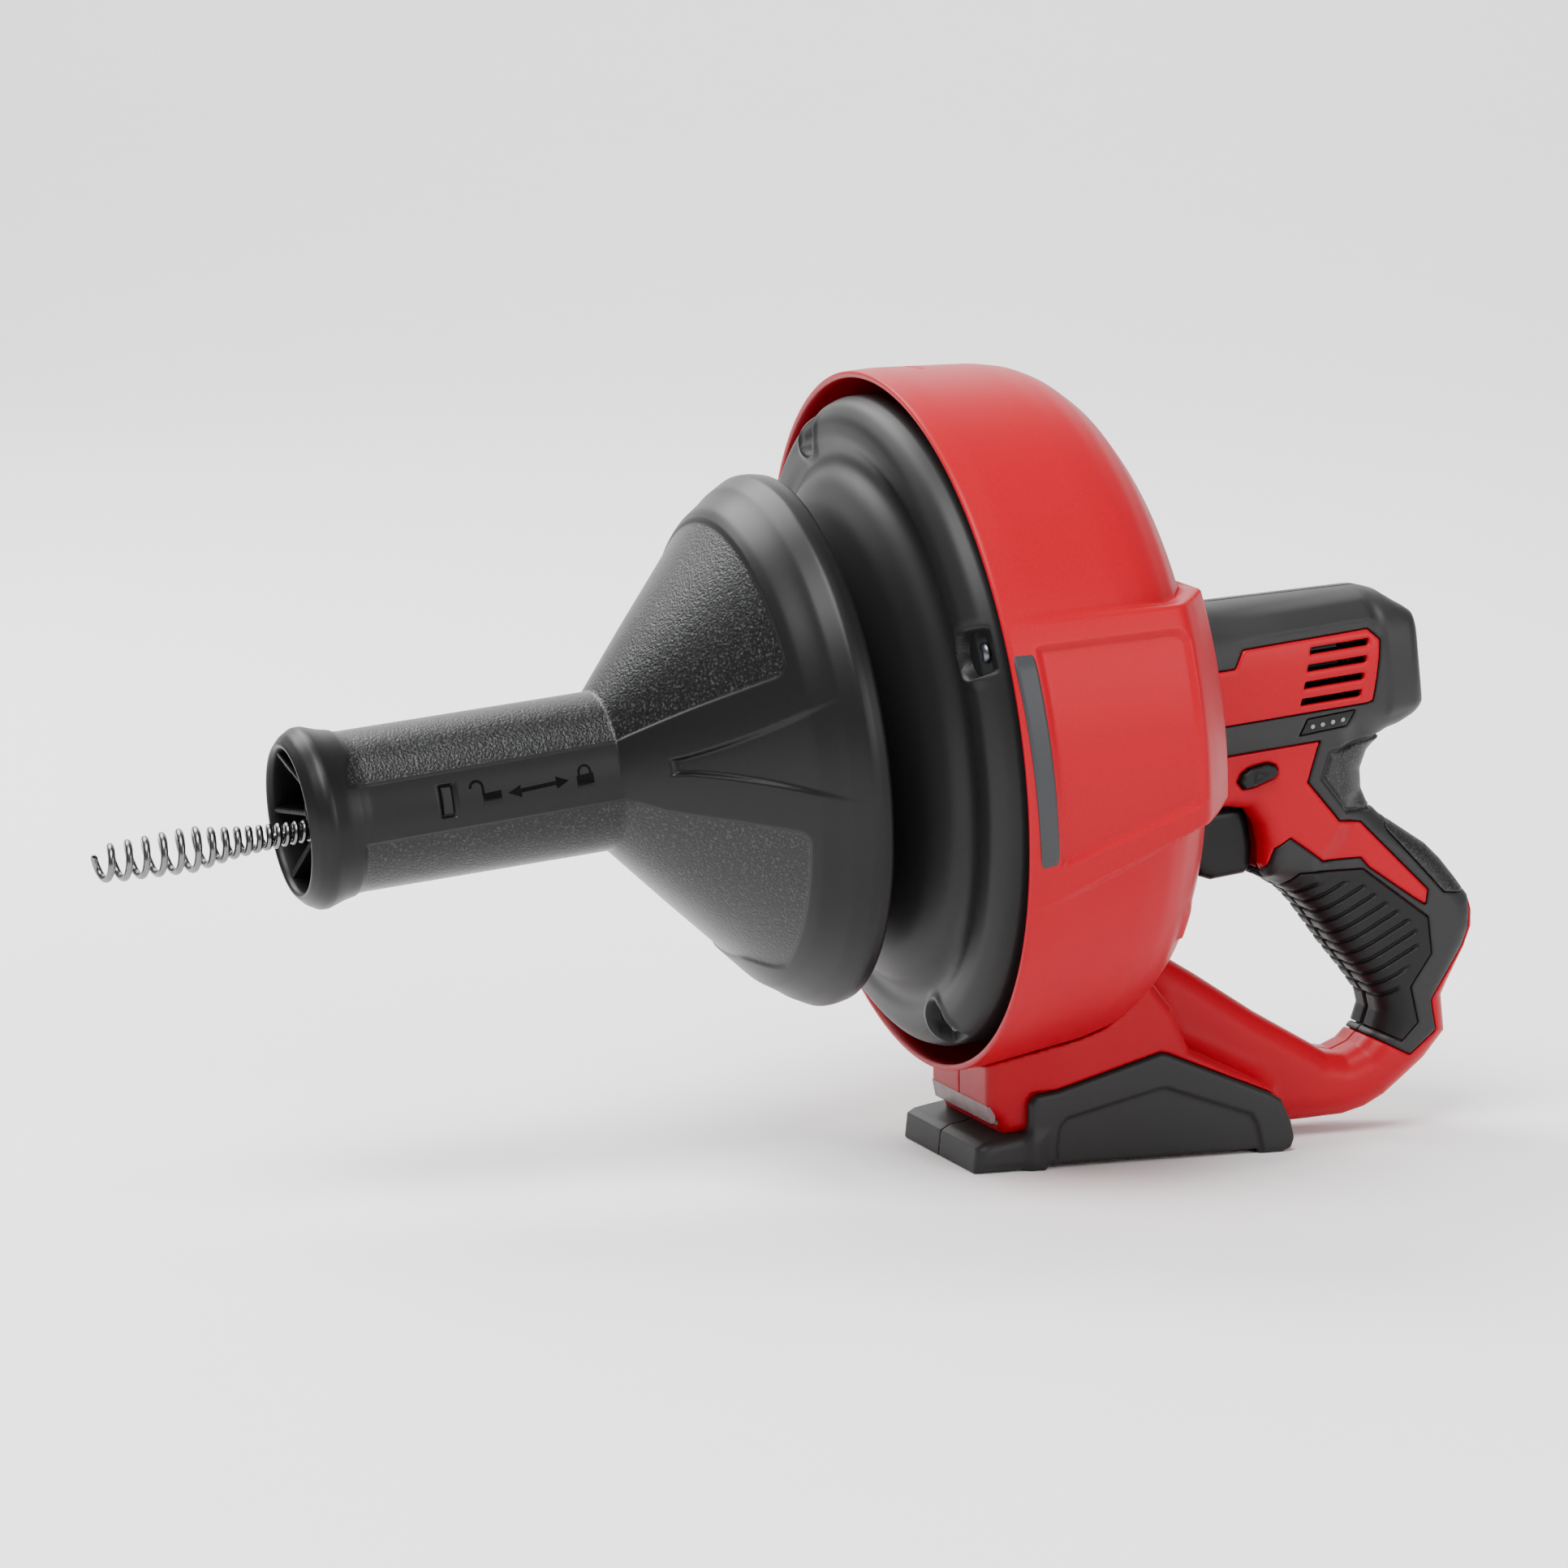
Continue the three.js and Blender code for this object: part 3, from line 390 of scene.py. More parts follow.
def shroud():
    """The round shroud, with a raised pad and a sunk panel on each side."""
    steps = [max(2, int(np.hypot(b[0] - a[0], b[1] - a[1]) / SHROUD_STEP))
             for a, b in zip(SHROUD_BASE, SHROUD_BASE[1:])]

    def walked(profile):
        line = [np.linspace(a, b, n, endpoint=False)
                for a, b, n in zip(profile, profile[1:], steps)]
        return softened(np.concatenate([*line, [profile[-1]]]), 3, 1.3)

    base, pad = walked(SHROUD_BASE), walked(SHROUD_PAD)
    angle = np.linspace(0, 2 * math.pi, SHROUD_SIDES, endpoint=False)
    s_base, r_base = base[:, :1], base[:, 1:]
    s_pad, r_pad = pad[:, :1], pad[:, 1:]
    height = r_pad * np.cos(angle)
    top = np.interp(s_pad, *PAD_TOP)
    foot = np.interp(s_pad, *PAD_FOOT)
    weight = (1 - smooth(height, top, top + 3.6)) * smooth(height, foot - 3.4, foot)
    weight = weight * smooth(r_base, 62, 76)
    s = s_base + (s_pad - s_base) * weight
    r = r_base + (r_pad - r_base) * weight
    depth = -polygon_distance(PANEL, s, r * np.cos(angle))
    panel = smooth(depth, -0.9, 0.9) * (r > 120)
    r = r - PANEL_DEPTH * panel
    notch = smooth(-np.hypot(s - NOTCH_S, (r * np.sin(angle) - NOTCH_X) / 7), -1.6, -1.2)
    r = r - NOTCH_DEPTH * notch * (np.cos(angle) > 0)
    ledge = smooth(r * np.cos(angle), -78, -76.5) * (1 - smooth(r * np.cos(angle), -68, -62))
    ledge = ledge * smooth(s, 66, 70) * (1 - smooth(s, 73, 75)) * (1 - weight)
    r = r + LEDGE_HEIGHT * ledge
    inside = resampled(SHROUD_INSIDE, 4)
    lip = np.array([(-0.25, 124.9), (-0.45, 125.5), (-0.45, 126.3), (-0.25, 126.8)])
    rest = np.concatenate([inside, lip])
    s_all = np.concatenate([s, np.repeat(rest[:, :1], SHROUD_SIDES, 1)])
    r_all = np.concatenate([r, np.repeat(rest[:, 1:], SHROUD_SIDES, 1)])
    points = np.stack([r_all * np.sin(angle), s_all, r_all * np.cos(angle)], -1)
    faces = grid_faces(len(s_all), SHROUD_SIDES, True)
    piece("shroud_shell", points.reshape(-1, 3), faces, [red], "drum_shroud")


shroud()

BUMPER = [(0.4, 41.2), (8.6, 40.2), (10.2, -35.3), (3.4, -37.3)]
BUMPER_INNER_R = 124
BUMPER_OUTER_R = 127.0
BUMPER_CROWN = 0.9


def side_bumper(side, name):
    """The grey strip let into the shroud's front edge; it stands proud in its middle."""
    def field(x, s, h):
        strip = polygon_distance(BUMPER, s, h)
        radius = np.hypot(x, h)
        ends = np.minimum(smooth(h, -37, -30), 1 - smooth(h, 34, 41))
        crown = radius - (BUMPER_OUTER_R + BUMPER_CROWN * ends)
        ring = cut_to(crown, BUMPER_INNER_R - radius, 0.5)
        return cut_to(strip, ring, 1.1)
    points, faces = net(field, (115, -1.5, -40), (129, 12, 44), 0.5)
    if side < 0:
        points, faces = mirrored(points, faces)
    piece(f"{name}_bumper_strip", points, faces, [grey], f"{name}_side_bumper")


side_bumper(1, "left")
side_bumper(-1, "right")

# ---------------------------------------------------------------- drum cover and its screws

COVER = [(-47, 15.4), (-47, 24), (-35, 50), (-20.5, 82), (-14.2, 90.8), (-9.4, 95.2), (-8.2, 99),
         (-9.6, 104), (-8.6, 111), (-4.4, 116.2), (0.5, 118), (15.9, 118), (15.9, 115), (3.6, 115),
         (-4.6, 110), (-5, 99), (-6.5, 94), (-17.5, 80), (-32, 48), (-43.5, 24), (-43.5, 15.4),
         (-47, 15.4)]
SCREW_ANGLES = [math.radians(a) for a in (-20.6, 69.4, 159.4, 249.4)]
SCREW_RING = 110
SCREW_POCKET_R = 7.8
POCKET_FLOOR_S = -1.4
BOSS_HEIGHT = 0.8
COVER_NOSE_POINTS = 11
COVER_SIDES = 960


def pocket_distance(x, h, angle):
    """Distance to the U-shaped pocket that runs out from a cover screw to the drum's edge."""
    along = x * math.sin(angle) + h * math.cos(angle) - SCREW_RING
    across = x * math.cos(angle) - h * math.sin(angle)
    return np.hypot(np.minimum(along, 0), across) - SCREW_POCKET_R


def cover():
    """The dished drum cover, with a pocket and a raised rim round it at each screw."""
    front = resampled(COVER[:COVER_NOSE_POINTS], 0.9, 1.6)
    back = resampled(COVER[COVER_NOSE_POINTS - 1:], 1.6, 0.5)
    profile = np.concatenate([front, back[1:-1]])

    def shape(s, r, angle):
        x, h = r * np.sin(angle), r * np.cos(angle)
        front_side = np.arange(len(s))[:, None] < len(front)
        for screw in SCREW_ANGLES:
            gap = pocket_distance(x, h, screw)
            gap = np.where(np.cos(angle - screw) > 0, gap, FAR)
            boss = smooth(-gap, -5.0, -1.0)
            rise = BOSS_HEIGHT * boss * smooth(r, 94, 100) * (1 - smooth(r, 113, 117))
            s = np.where(front_side, s - rise, s)
            floor = np.maximum(s, POCKET_FLOOR_S)
            s = np.where(front_side, s + (floor - s) * smooth(-gap, -0.9, 0.9), s)
        return s, r

    points = turned(profile, COVER_SIDES, shape)
    faces = grid_faces(len(profile), COVER_SIDES, True)
    piece("drum_cover", points.reshape(-1, 3), faces, [black], "front_drum_cover")


cover()


def lobed_screw(i, angle):
    """A domed screw head with a six-lobed socket; each row is its radius, s and share of lobes."""
    cx, ch = SCREW_RING * math.sin(angle), SCREW_RING * math.cos(angle)
    turn = np.linspace(0, 2 * math.pi, 72, endpoint=False)
    lobes = 0.16 * np.cos(6 * turn)
    rows = [(0.0, -2.4, 1), (1.5, -2.4, 1), (1.75, -2.6, 1), (1.85, -4.0, 1), (2.2, -4.2, 0.5),
            (2.9, -3.95, 0), (3.6, -3.4, 0), (3.95, -2.7, 0), (4.0, -2.0, 0), (1.9, -1.8, 0),
            (1.8, 20, 0), (0.0, 20, 0)]
    grid = [np.stack([cx + r * (1 + lobes * k) * np.cos(turn), np.full(len(turn), s),
                      ch + r * (1 + lobes * k) * np.sin(turn)], -1) for r, s, k in rows]
    points = np.array(grid).reshape(-1, 3)
    piece(f"cover_screw_{i}", points, grid_faces(len(rows), len(turn), False), [dark_steel],
          f"drum_screw_{i}")


for number, screw_angle in enumerate(SCREW_ANGLES, 1):
    lobed_screw(number, screw_angle)

# ---------------------------------------------------------------- funnel hand grip

GRIP_OUTSIDE = [(-225.6, 25.4), (-226.9, 26.0), (-227.4, 27.1), (-224.5, 30.2), (-221, 32.2),
                (-218.6, 32.3), (-208.5, 28.9), (-205, 28.5), (-113, 28.5), (-91.5, 52.1),
                (-71, 74), (-60.5, 85.4), (-51.5, 92.5), (-45.2, 95.9), (-42.4, 95.9),
                (-38.2, 95.1), (-37.5, 93.4)]
GRIP_INSIDE = [(-38, 91.6), (-46, 91.3), (-58.8, 81.5), (-67.4, 71.5), (-87.5, 50),
               (-108.8, 27.4), (-112, 25.6), (-205, 25.6), (-212, 25.9), (-224.6, 25.2)]
# Edges of the zones on the grip, as s and degrees from the top.
UPPER_EDGE = ([-212, -110.4, -80.2, -67.7, -60], [61.5, 59.0, 61.5, 62.3, 62.3])
LOWER_EDGE = ([-212, -113, -102, -85, -72, -60], [106, 103.5, 105.5, 104, 103.5, 103.5])
TRAPEZE_TOP = ([-99.3, -95.2, -49.9], [79.3, 78.9, 71.4])
TRAPEZE_FOOT = ([-99.5, -93.7, -51.7], [86.6, 86.8, 94.5])
TRAPEZE_START = -99.4
TRAPEZE_DEPTH = 2.3
GRAIN_START = -207.5
GRAIN_END = -64.2
SMOOTH_PROUD = 0.75
WINDOW_S = (-179.9, -174.6)
WINDOW_H = (-2.2, 9.2)
WINDOW_DEPTH = 1.9
GRIP_SIDES = 720
# The webs in the grip's mouth: half thickness, ends in s, and radii.
WEB_HALF = 1.1
WEB_FRONT = -225.5
WEB_BACK = -207
WEB_INNER_R = 9.5
WEB_OUTER_R = 26
# Inner radius, outer radius, middle s and half length.
HUB = (9.2, 11.8, -214, 4)
SLEEVE = (17.8, 19.8, -204, 3)


def from_top(angle):
    """Degrees away from straight up, the same on both sides."""
    return np.degrees(np.abs((angle + math.pi) % (2 * math.pi) - math.pi))


def grained_zone(s, r, angle):
    """Distance in mm into the coarse-grained zones of the grip; positive inside them."""
    folded = from_top(angle)
    arc = np.radians(1) * r
    upper = (np.interp(s, *UPPER_EDGE) - folded) * arc
    lower = (folded - np.interp(s, *LOWER_EDGE)) * arc
    start = s - GRAIN_START + 4 * smooth(folded, 35, 58) * (1 - smooth(folded, 60, 90))
    end = GRAIN_END - s - 8 * smooth(folded, 150, 170)
    zones = [-cut_to(cut_to(-side, -start, 1.5), -end * 1.35, 5) for side in (upper, lower)]
    return np.maximum(*zones)


def trapeze(s, r, angle):
    """How deep the sunk trapeze on the side of the cone is."""
    folded = from_top(angle)
    arc = np.radians(1) * r
    below = (folded - np.interp(s, *TRAPEZE_TOP)) * arc
    above = (np.interp(s, *TRAPEZE_FOOT) - folded) * arc
    edge = np.minimum(np.minimum(below, above), (s - TRAPEZE_START) * 1.3)
    depth = TRAPEZE_DEPTH * (1 - smooth(s, -94, -44))
    return smooth(edge, -0.3, 1.1) * depth


def collar(radius, s, inner, outer, middle, half):
    """The field of a round tube on the axis."""
    return np.maximum(np.maximum(radius - outer, inner - radius), np.abs(s - middle) - half)


def mouth(x, s, h):
    """The six webs and the hub in the grip's mouth, and the sleeve that slides on the nose tube."""
    radius = np.hypot(x, h)
    webs = np.full(np.broadcast(x, s, h).shape, FAR)
    for angle in (30, 90, 150):
        a = math.radians(angle)
        webs = np.minimum(webs, np.abs(x * math.cos(a) - h * math.sin(a)) - WEB_HALF)
    front = WEB_FRONT + (WEB_OUTER_R - radius) * 0.45
    webs = np.maximum(np.maximum(webs, front - s), s - WEB_BACK)
    webs = np.maximum(webs, np.maximum(radius - WEB_OUTER_R - 0.5, WEB_INNER_R - radius))
    webs = np.minimum(webs, collar(radius, s, *HUB))
    return np.minimum(webs, collar(radius, s, *SLEEVE))


def funnel():
    """The hand grip: a cone and a tube with coarse-grained zones, and the webs in its mouth."""
    outside = resampled(GRIP_OUTSIDE, 0.7, 0.45)
    inside = resampled(GRIP_INSIDE, 3)
    profile = np.concatenate([outside, inside])
    slope = np.gradient(profile, axis=0)
    slope /= np.linalg.norm(slope, axis=1, keepdims=True)
    count = len(outside)

    def shape(s, r, angle):
        grain = grained_zone(s, r, angle)
        proud = SMOOTH_PROUD * (1 - smooth(grain, -1.6, 0.2))
        proud = proud * smooth(s, -214, -206) * (1 - smooth(s, -62, -53))
        proud = proud - trapeze(s, r, angle)
        h = r * np.cos(angle)
        slot = np.minimum(np.minimum(s - WINDOW_S[0], WINDOW_S[1] - s),
                          np.minimum(h - WINDOW_H[0], WINDOW_H[1] - h))
        proud = proud - WINDOW_DEPTH * smooth(slot, -0.25, 0.25) * (np.sin(angle) > 0)
        proud = np.where(np.arange(len(s))[:, None] < count, proud, 0)
        return s - proud * slope[:, 1:], r + proud * slope[:, :1]

    points = turned(profile, GRIP_SIDES, shape)
    faces = grid_faces(len(profile), GRIP_SIDES, True)
    flat = points.reshape(-1, 3)
    middle = face_centres(flat, faces)
    radius = np.hypot(middle[:, 0], middle[:, 2])
    grain = grained_zone(middle[:, 1], radius, np.arctan2(middle[:, 0], middle[:, 2]))
    ring = np.arange(len(faces)) // GRIP_SIDES
    zones = ((grain > 0) & (ring < count)).astype(int)

    web_points, web_faces = net(mouth, (-28, -228, -28), (28, -199, 28), 0.7)
    points_all, faces_all = joined((flat, faces), (web_points, web_faces))
    zones = np.concatenate([zones, np.zeros(len(web_faces), int)])
    piece("hand_grip", points_all, faces_all, [smooth_black, coarse_black], "funnel_grip",
          zones=zones)


funnel()

MARK_RADIUS = 29.25
MARK_LIFT = 0.12
MARK_DEPTH = 0.5


def strip_on_grip(name, one_edge, other_edge):
    """A thin dark strip between two lines of (s, h), wrapped on the side of the grip's tube."""
    lines = [(one_edge, MARK_LIFT), (other_edge, MARK_LIFT), (other_edge, -MARK_DEPTH),
             (one_edge, -MARK_DEPTH)]
    loops = []
    for line, lift in lines:
        s, h = np.asarray(line, float).T
        loops.append(np.stack([np.sqrt((MARK_RADIUS + lift) ** 2 - h ** 2), s, h], 1))
    points = np.stack(loops, 1)
    count = len(points)
    faces = grid_faces(count, 4, False).tolist()
    faces += [[3, 2, 1, 0], [4 * count - 4, 4 * count - 3, 4 * count - 2, 4 * count - 1]]
    made = piece(name, points.reshape(-1, 3), faces, [gloss_mark], body="grip",
                 slot="black_plastic")
    made.data.polygons.foreach_set("use_smooth", [False] * len(faces))


def bow(s, h, r):
    """The upper half of a circle round (s, h)."""
    return [(s + r * math.cos(a), h + r * math.sin(a)) for a in np.linspace(0, math.pi, 14)]


def lock_marks():
    """An open padlock, a double arrow and a closed padlock, moulded on the side of the grip."""
    rise = np.linspace(0, 4.6, 6)
    strip_on_grip("mark_open_body", [(-157.9, a) for a in rise], [(-164.6, a - 0.4) for a in rise])
    strip_on_grip("mark_open_bow", [(-163.9, 3.6), *bow(-166.6, 6.6, 2.7)],
                  [(-164.8, 3.6), *bow(-166.6, 6.6, 1.8)])
    strip_on_grip("mark_arrow", [(-155.4, 3.1), (-150.8, 5.2), (-150.7, 3.9), (-137.7, 4.6),
                                 (-137.8, 6.1), (-133.2, 4.1)],
                  [(-155.4, 3.0), (-150.6, 0.9), (-150.7, 2.5), (-137.7, 3.2), (-137.6, 1.8),
                   (-133.2, 4.0)])
    strip_on_grip("mark_shut_body", [(-123.9, a + 0.9) for a in rise],
                  [(-130.1, a + 0.5) for a in rise])
    strip_on_grip("mark_shut_bow", [(-124.5, 4.4), *bow(-127, 6.2, 2.5), (-129.5, 4.2)],
                  [(-125.3, 4.4), *bow(-127, 6.2, 1.7), (-128.7, 4.2)])


lock_marks()


WINDOW_BAR = [(-179.2, -1.2), (-175.4, -1.2), (-175.4, 8.3), (-179.2, 8.3)]
WINDOW_BAR_R = (26.5, 28.6)


def window_bar():
    """The bar of the lock's detent, seen in the grip's window."""
    def field(x, s, h):
        section = slab(WINDOW_BAR, s, h, x, 60, 0.8)
        radius = np.hypot(x, h)
        shell = cut_to(radius - WINDOW_BAR_R[1], WINDOW_BAR_R[0] - radius, 0.6)
        return cut_to(section, shell, 0.7)
    points, faces = net(field, (24, -181, -3), (30, -173, 10), 0.3)
    piece("detent_window", points, faces, [black], "lock_window")


window_bar()

# ---------------------------------------------------------------- cable and auger

CABLE_SAG = -4.2
WIRE_START = -296.9
WIRE_END = -196
AUGER_END = -240.5
AUGER_WIRE_R = 1.3
CABLE_WIRE_R = 1.25
CORE_R = 2.0
HOOK_POINTS = 12
STEPS_PER_TURN = 30
# The coil's radius, and its advance per turn, at each s.
COIL_TABLE = ([-297.6, -290, -262, -255, -247, -238, -228, -190],
              [4.95, 5.8, 7.0, 5.6, 4.4, 3.6, 3.0, 2.95])
PITCH_TABLE = ([-297.6, -266, -247, -238, -227, -190], [6.3, 6.1, 4.3, 3.7, 3.1, 2.3])


def coil():
    """The wire wound into a cable, opening out into the auger at its end."""
    s, angle, route = WIRE_START, 2.2, []
    while s < WIRE_END:
        radius = np.interp(s, *COIL_TABLE)
        route.append((radius * math.cos(angle), s, CABLE_SAG + radius * math.sin(angle)))
        angle += 2 * math.pi / STEPS_PER_TURN
        s += np.interp(s, *PITCH_TABLE) / STEPS_PER_TURN
    return np.array(route)


coil_route = coil()
split = int(np.argmin(np.abs(coil_route[:, 1] - AUGER_END)))
auger_route, cable_route = coil_route[:split + 1], coil_route[split - 1:]
inward = np.linspace(1, 0, HOOK_POINTS)[:, None]
hook = auger_route[:HOOK_POINTS]
hook = hook - 0.35 * inward ** 2 * (hook - [0, -297, CABLE_SAG])
auger_route = np.concatenate([hook, auger_route[HOOK_POINTS:]])
piece("auger_coil", *wire(auger_route, AUGER_WIRE_R), [steel], "auger_head")
core = wire([(0, s, CABLE_SAG) for s in np.linspace(-234, -43, 40)], CORE_R)
piece("cable_wire", *joined(wire(cable_route, CABLE_WIRE_R), core), [steel], "straight_cable")

# ---------------------------------------------------------------- handle

MOTOR_SIDE = [(84.8, 31.6), (123.7, 27), (183.8, 24.5), (189.2, 21.8), (192.4, 17.4), (197.3, 12.7),
              (199.5, 7.2), (201.3, -0.6), (201.8, -11.4), (201.2, -20.4), (196.1, -26.3),
              (191.4, -30.2), (186.4, -31.9), (180, -34), (150, -33), (84.8, -33)]
NECK = [(97, -14), (99, -47.8), (119, -47.8), (126, -49.5), (130, -56), (131.6, -64), (131, -71),
        (133, -76), (150, -78), (163, -66), (168, -50), (168, -30), (168, -14)]
HANDLE = [(131, -14), (184, -14), (183, -33), (178.6, -37), (175.6, -43), (175.3, -50),
          (177.2, -55.5), (181.6, -60.8), (189.1, -66.9), (199.3, -75.2), (204.7, -81.6),
          (209.8, -89.2), (214.6, -97), (215.6, -102.5), (215, -109), (211.2, -116.5),
          (203.2, -128.5), (200.6, -132.7), (200.6, -146.4), (191, -155.6), (181.2, -162),
          (173.5, -166.8), (165.4, -169.9), (156.4, -171.2), (139.3, -170.2), (100, -167),
          (60, -160), (60, -100), (84.6, -94.5), (103.2, -108.7), (125.4, -126.8),
          (146.8, -142.4), (152, -146.4), (158.5, -148.4), (165.3, -146.4), (171.7, -141.3),
          (174.6, -134.9), (174, -130.2), (168.5, -120.9), (160.2, -108.7), (156.8, -102.9),
          (150.1, -92), (145.7, -86.4), (138.9, -81), (131.3, -75)]
BASE = upright([(66.3, 12), (64.4, 17.2), (60.6, 22.8), (60.3, 60), (110, 74), (122, 66),
                (130, 56), (137, 40.5), (168.5, 24.6), (173.8, 19), (175.3, 6.5), (171.3, 3.6),
                (80.9, 3.6), (80.9, 12)])
MOTOR_CENTRE_H = -4
SKIN = [(80, 40), (215, 40), (235, -60), (228, -96), (213.8, -98.1), (211.3, -108.5),
        (208.8, -114.3), (193.4, -132.8), (194.4, -144.4), (182.8, -151.7), (163, -139.2),
        (150, -112), (120, -84), (122, -78.5), (131.5, -73.8), (134.6, -65.6), (140.7, -62.3),
        (153.8, -73.5), (169.7, -74.8), (172.6, -78.9), (190.4, -93.9), (194.2, -96.7),
        (195.6, -91.1), (170.8, -61.5), (160.8, -59.1), (149.5, -42.8), (155.6, -28.3),
        (80, -28.3)]
MOTOR_PANEL = [(70, 4), (122.4, 4), (126.4, 10.3), (176.6, 10.6), (180.8, 6), (179.5, -1),
               (176, -16), (173.7, -16.5), (70, -16.5)]
GRIP_PANEL = [(126, -92), (137, -84), (144.3, -76.5), (170.2, -79.1), (194.7, -101.4),
              (194.9, -115.3), (185.4, -126.4), (187.2, -140.2), (180.1, -146.1), (163, -136),
              (140, -110)]
RIBS = [(100, -84), (146, -80), (168, -82.5), (190.2, -103), (190.4, -113.2), (181.5, -124.2),
        (181.4, -130), (160, -140), (120, -120)]
PALM_PAD = [(181.5, -64.6), (181.9, -67), (201.9, -93.1), (209.4, -94.9), (226, -92), (200, -56)]
WEB_PAD = [(159.4, -33.4), (155.4, -42.2), (164.3, -56), (175.3, -57.7), (186, -56), (186, -31),
           (172, -31.6)]
GAUGE = [(149.6, -18.9), (168.9, -18.3), (166.2, -24.1), (147, -24.9)]
GAUGE_LIGHTS = [(151.9, -22.1), (155.9, -21.9), (160.0, -21.6), (164.1, -21.4)]
GAUGE_LIGHT_R = 0.85
SELECTOR = [(121.9, -38.4), (123.6, -35.8), (126.7, -34.1), (133.9, -33.3), (137, -34.6),
            (137.8, -36.7), (136, -38.8), (127.7, -41), (123.8, -41.2)]
TRIGGER_ROOM = [(90, -47.9), (136.2, -47.9), (138, -55.5), (138.5, -66), (137.4, -73.4),
                (134.5, -76.4), (127, -77.6), (90, -78)]
GEAR_ROOM_R = 19.5
MOTOR_ROOM_R = 18.3
GEAR_ROOM_END = 118.5
MOTOR_ROOM_END = 178
# Four slanting slots.
VENTS = [[(153 - 1.8 * k, 7.3 - 6.05 * k), (176.6 - 1.6 * k, 7.3 - 6.05 * k),
          (175.8 - 1.6 * k, 4.6 - 6.05 * k), (152.2 - 1.8 * k, 4.6 - 6.05 * k)] for k in range(4)]
# The shroud seen from the side, as (s, R).
SHROUD_OUTLINE = [(-5, -1), *[(s, r) for s, r in SHROUD_BASE[:-1]], (84.3, 0), (-5, 0)]
# The foot's side plate, as (y, height over the floor).
PLATE = [(73.3, 5), (73.6, 24.7), (75.8, 27.5), (83.6, 28.5), (124.6, 39.9), (127.8, 39.1),
         (168.2, 22.1), (172.5, 19.5), (176.5, 11.1), (177.9, 5), (176.7, 1.4), (173.3, 0),
         (163.8, 0), (163.1, 1.7), (81.5, 1.7), (79.3, 0), (74.3, 0)]
HANDLE_BOX = ((0, 4, -180), (40, 220, 36))
# The barrel's radius at each s, and half widths across x.
BARREL_RADIUS = ([84, 184, 196], [32.4, 29.2, 28])
BARREL_HALF = 27.3
BARREL_END = 201.6
NECK_HALF = 21.5
GRIP_HALF = 17.5
RIB_PITCH = 5.2
RIB_DEPTH = 1.3
# How deep the skins lie, the groove round the thumb pad, and the gaps between pieces.
SKIN_DEPTH = 2.6
GROOVE_DEPTH = 0.9
ROUNDING = 0.9
SEAM = 0.15
MIDDLE_GAP = 0.12
# The x from which each cut or inlay starts.
MOTOR_PANEL_X = 19
VENT_X = 17
SELECTOR_X = 14
TRIGGER_ROOM_HALF = 11.6
FOOT_X = 32.6
GAUGE_X = 20
PALM_X = 3.5
GRIP_PANEL_X = 1


def grip_ribs(s, h):
    """How far the grip panel is cut down between its slanting ribs."""
    across = -0.375 * s + 0.927 * h
    wave = 0.5 + 0.5 * np.cos(2 * math.pi * across / RIB_PITCH)
    hollow = 1 - smooth(wave, 0.02, 0.34)
    return RIB_DEPTH * hollow * smooth(-polygon_distance(RIBS, s, h), 0.0, 2.2)


def handle_body(x, s, h, ribs=True):
    """The whole handle: motor barrel, neck, D-shaped grip, arm and base."""
    side = polygon_distance(MOTOR_SIDE, s, h)
    tube = np.hypot(x, h - MOTOR_CENTRE_H) - np.interp(s, *BARREL_RADIUS)
    barrel = cut_to(cut_to(side, tube, 6), x - BARREL_HALF, 5)
    barrel = cut_to(barrel, s - BARREL_END + 0.0105 * x * x, 3)
    cap = smooth(s, 181, 184.5) * smooth(h, -24, -19) * (1 - smooth(h, 15, 21))
    barrel = barrel - 0.7 * cap
    shoulder = smooth(h, 12.6, 14.4) * (1 - smooth(h, 20, 23)) * (1 - smooth(s, 178, 181))
    barrel = barrel - 0.9 * shoulder * smooth(s, 118, 146)
    neck = slab(NECK, s, h, x, NECK_HALF, 7)
    grip = slab(HANDLE, s, h, x, GRIP_HALF, 10) + (grip_ribs(s, h) if ribs else 0)
    whole = blend_in(blend_in(barrel, neck, 5), grip, 5)
    base = slab(BASE, s, h, x, 36 - 6 * smooth(40 - s, 0, 30), 5)
    return blend_in(whole, base, 9)


def skin_region(s, h, x, grow=0.0):
    """Distance to the soft skin's region in side view, the red motor panel left out."""
    outline = polygon_distance(SKIN, s, h)
    panel = np.maximum(polygon_distance(MOTOR_PANEL, s, h), MOTOR_PANEL_X - x)
    return np.maximum(outline, -panel) - grow


def shroud_room(x, s, h):
    """Positive inside the shroud and in the gap round it."""
    return 0.35 - polygon_distance(SHROUD_OUTLINE, s, np.hypot(x, h))


def cut_many(body, k, *cuts):
    """The intersection of a field with several others, each edge rounded over about k mm."""
    for cut in cuts:
        body = cut_to(body, cut, k)
    return body


def trigger_room(x, s, h):
    """Negative in the slot that the trigger moves in."""
    return np.maximum(polygon_distance(TRIGGER_ROOM, s, h), np.abs(x) - TRIGGER_ROOM_HALF)


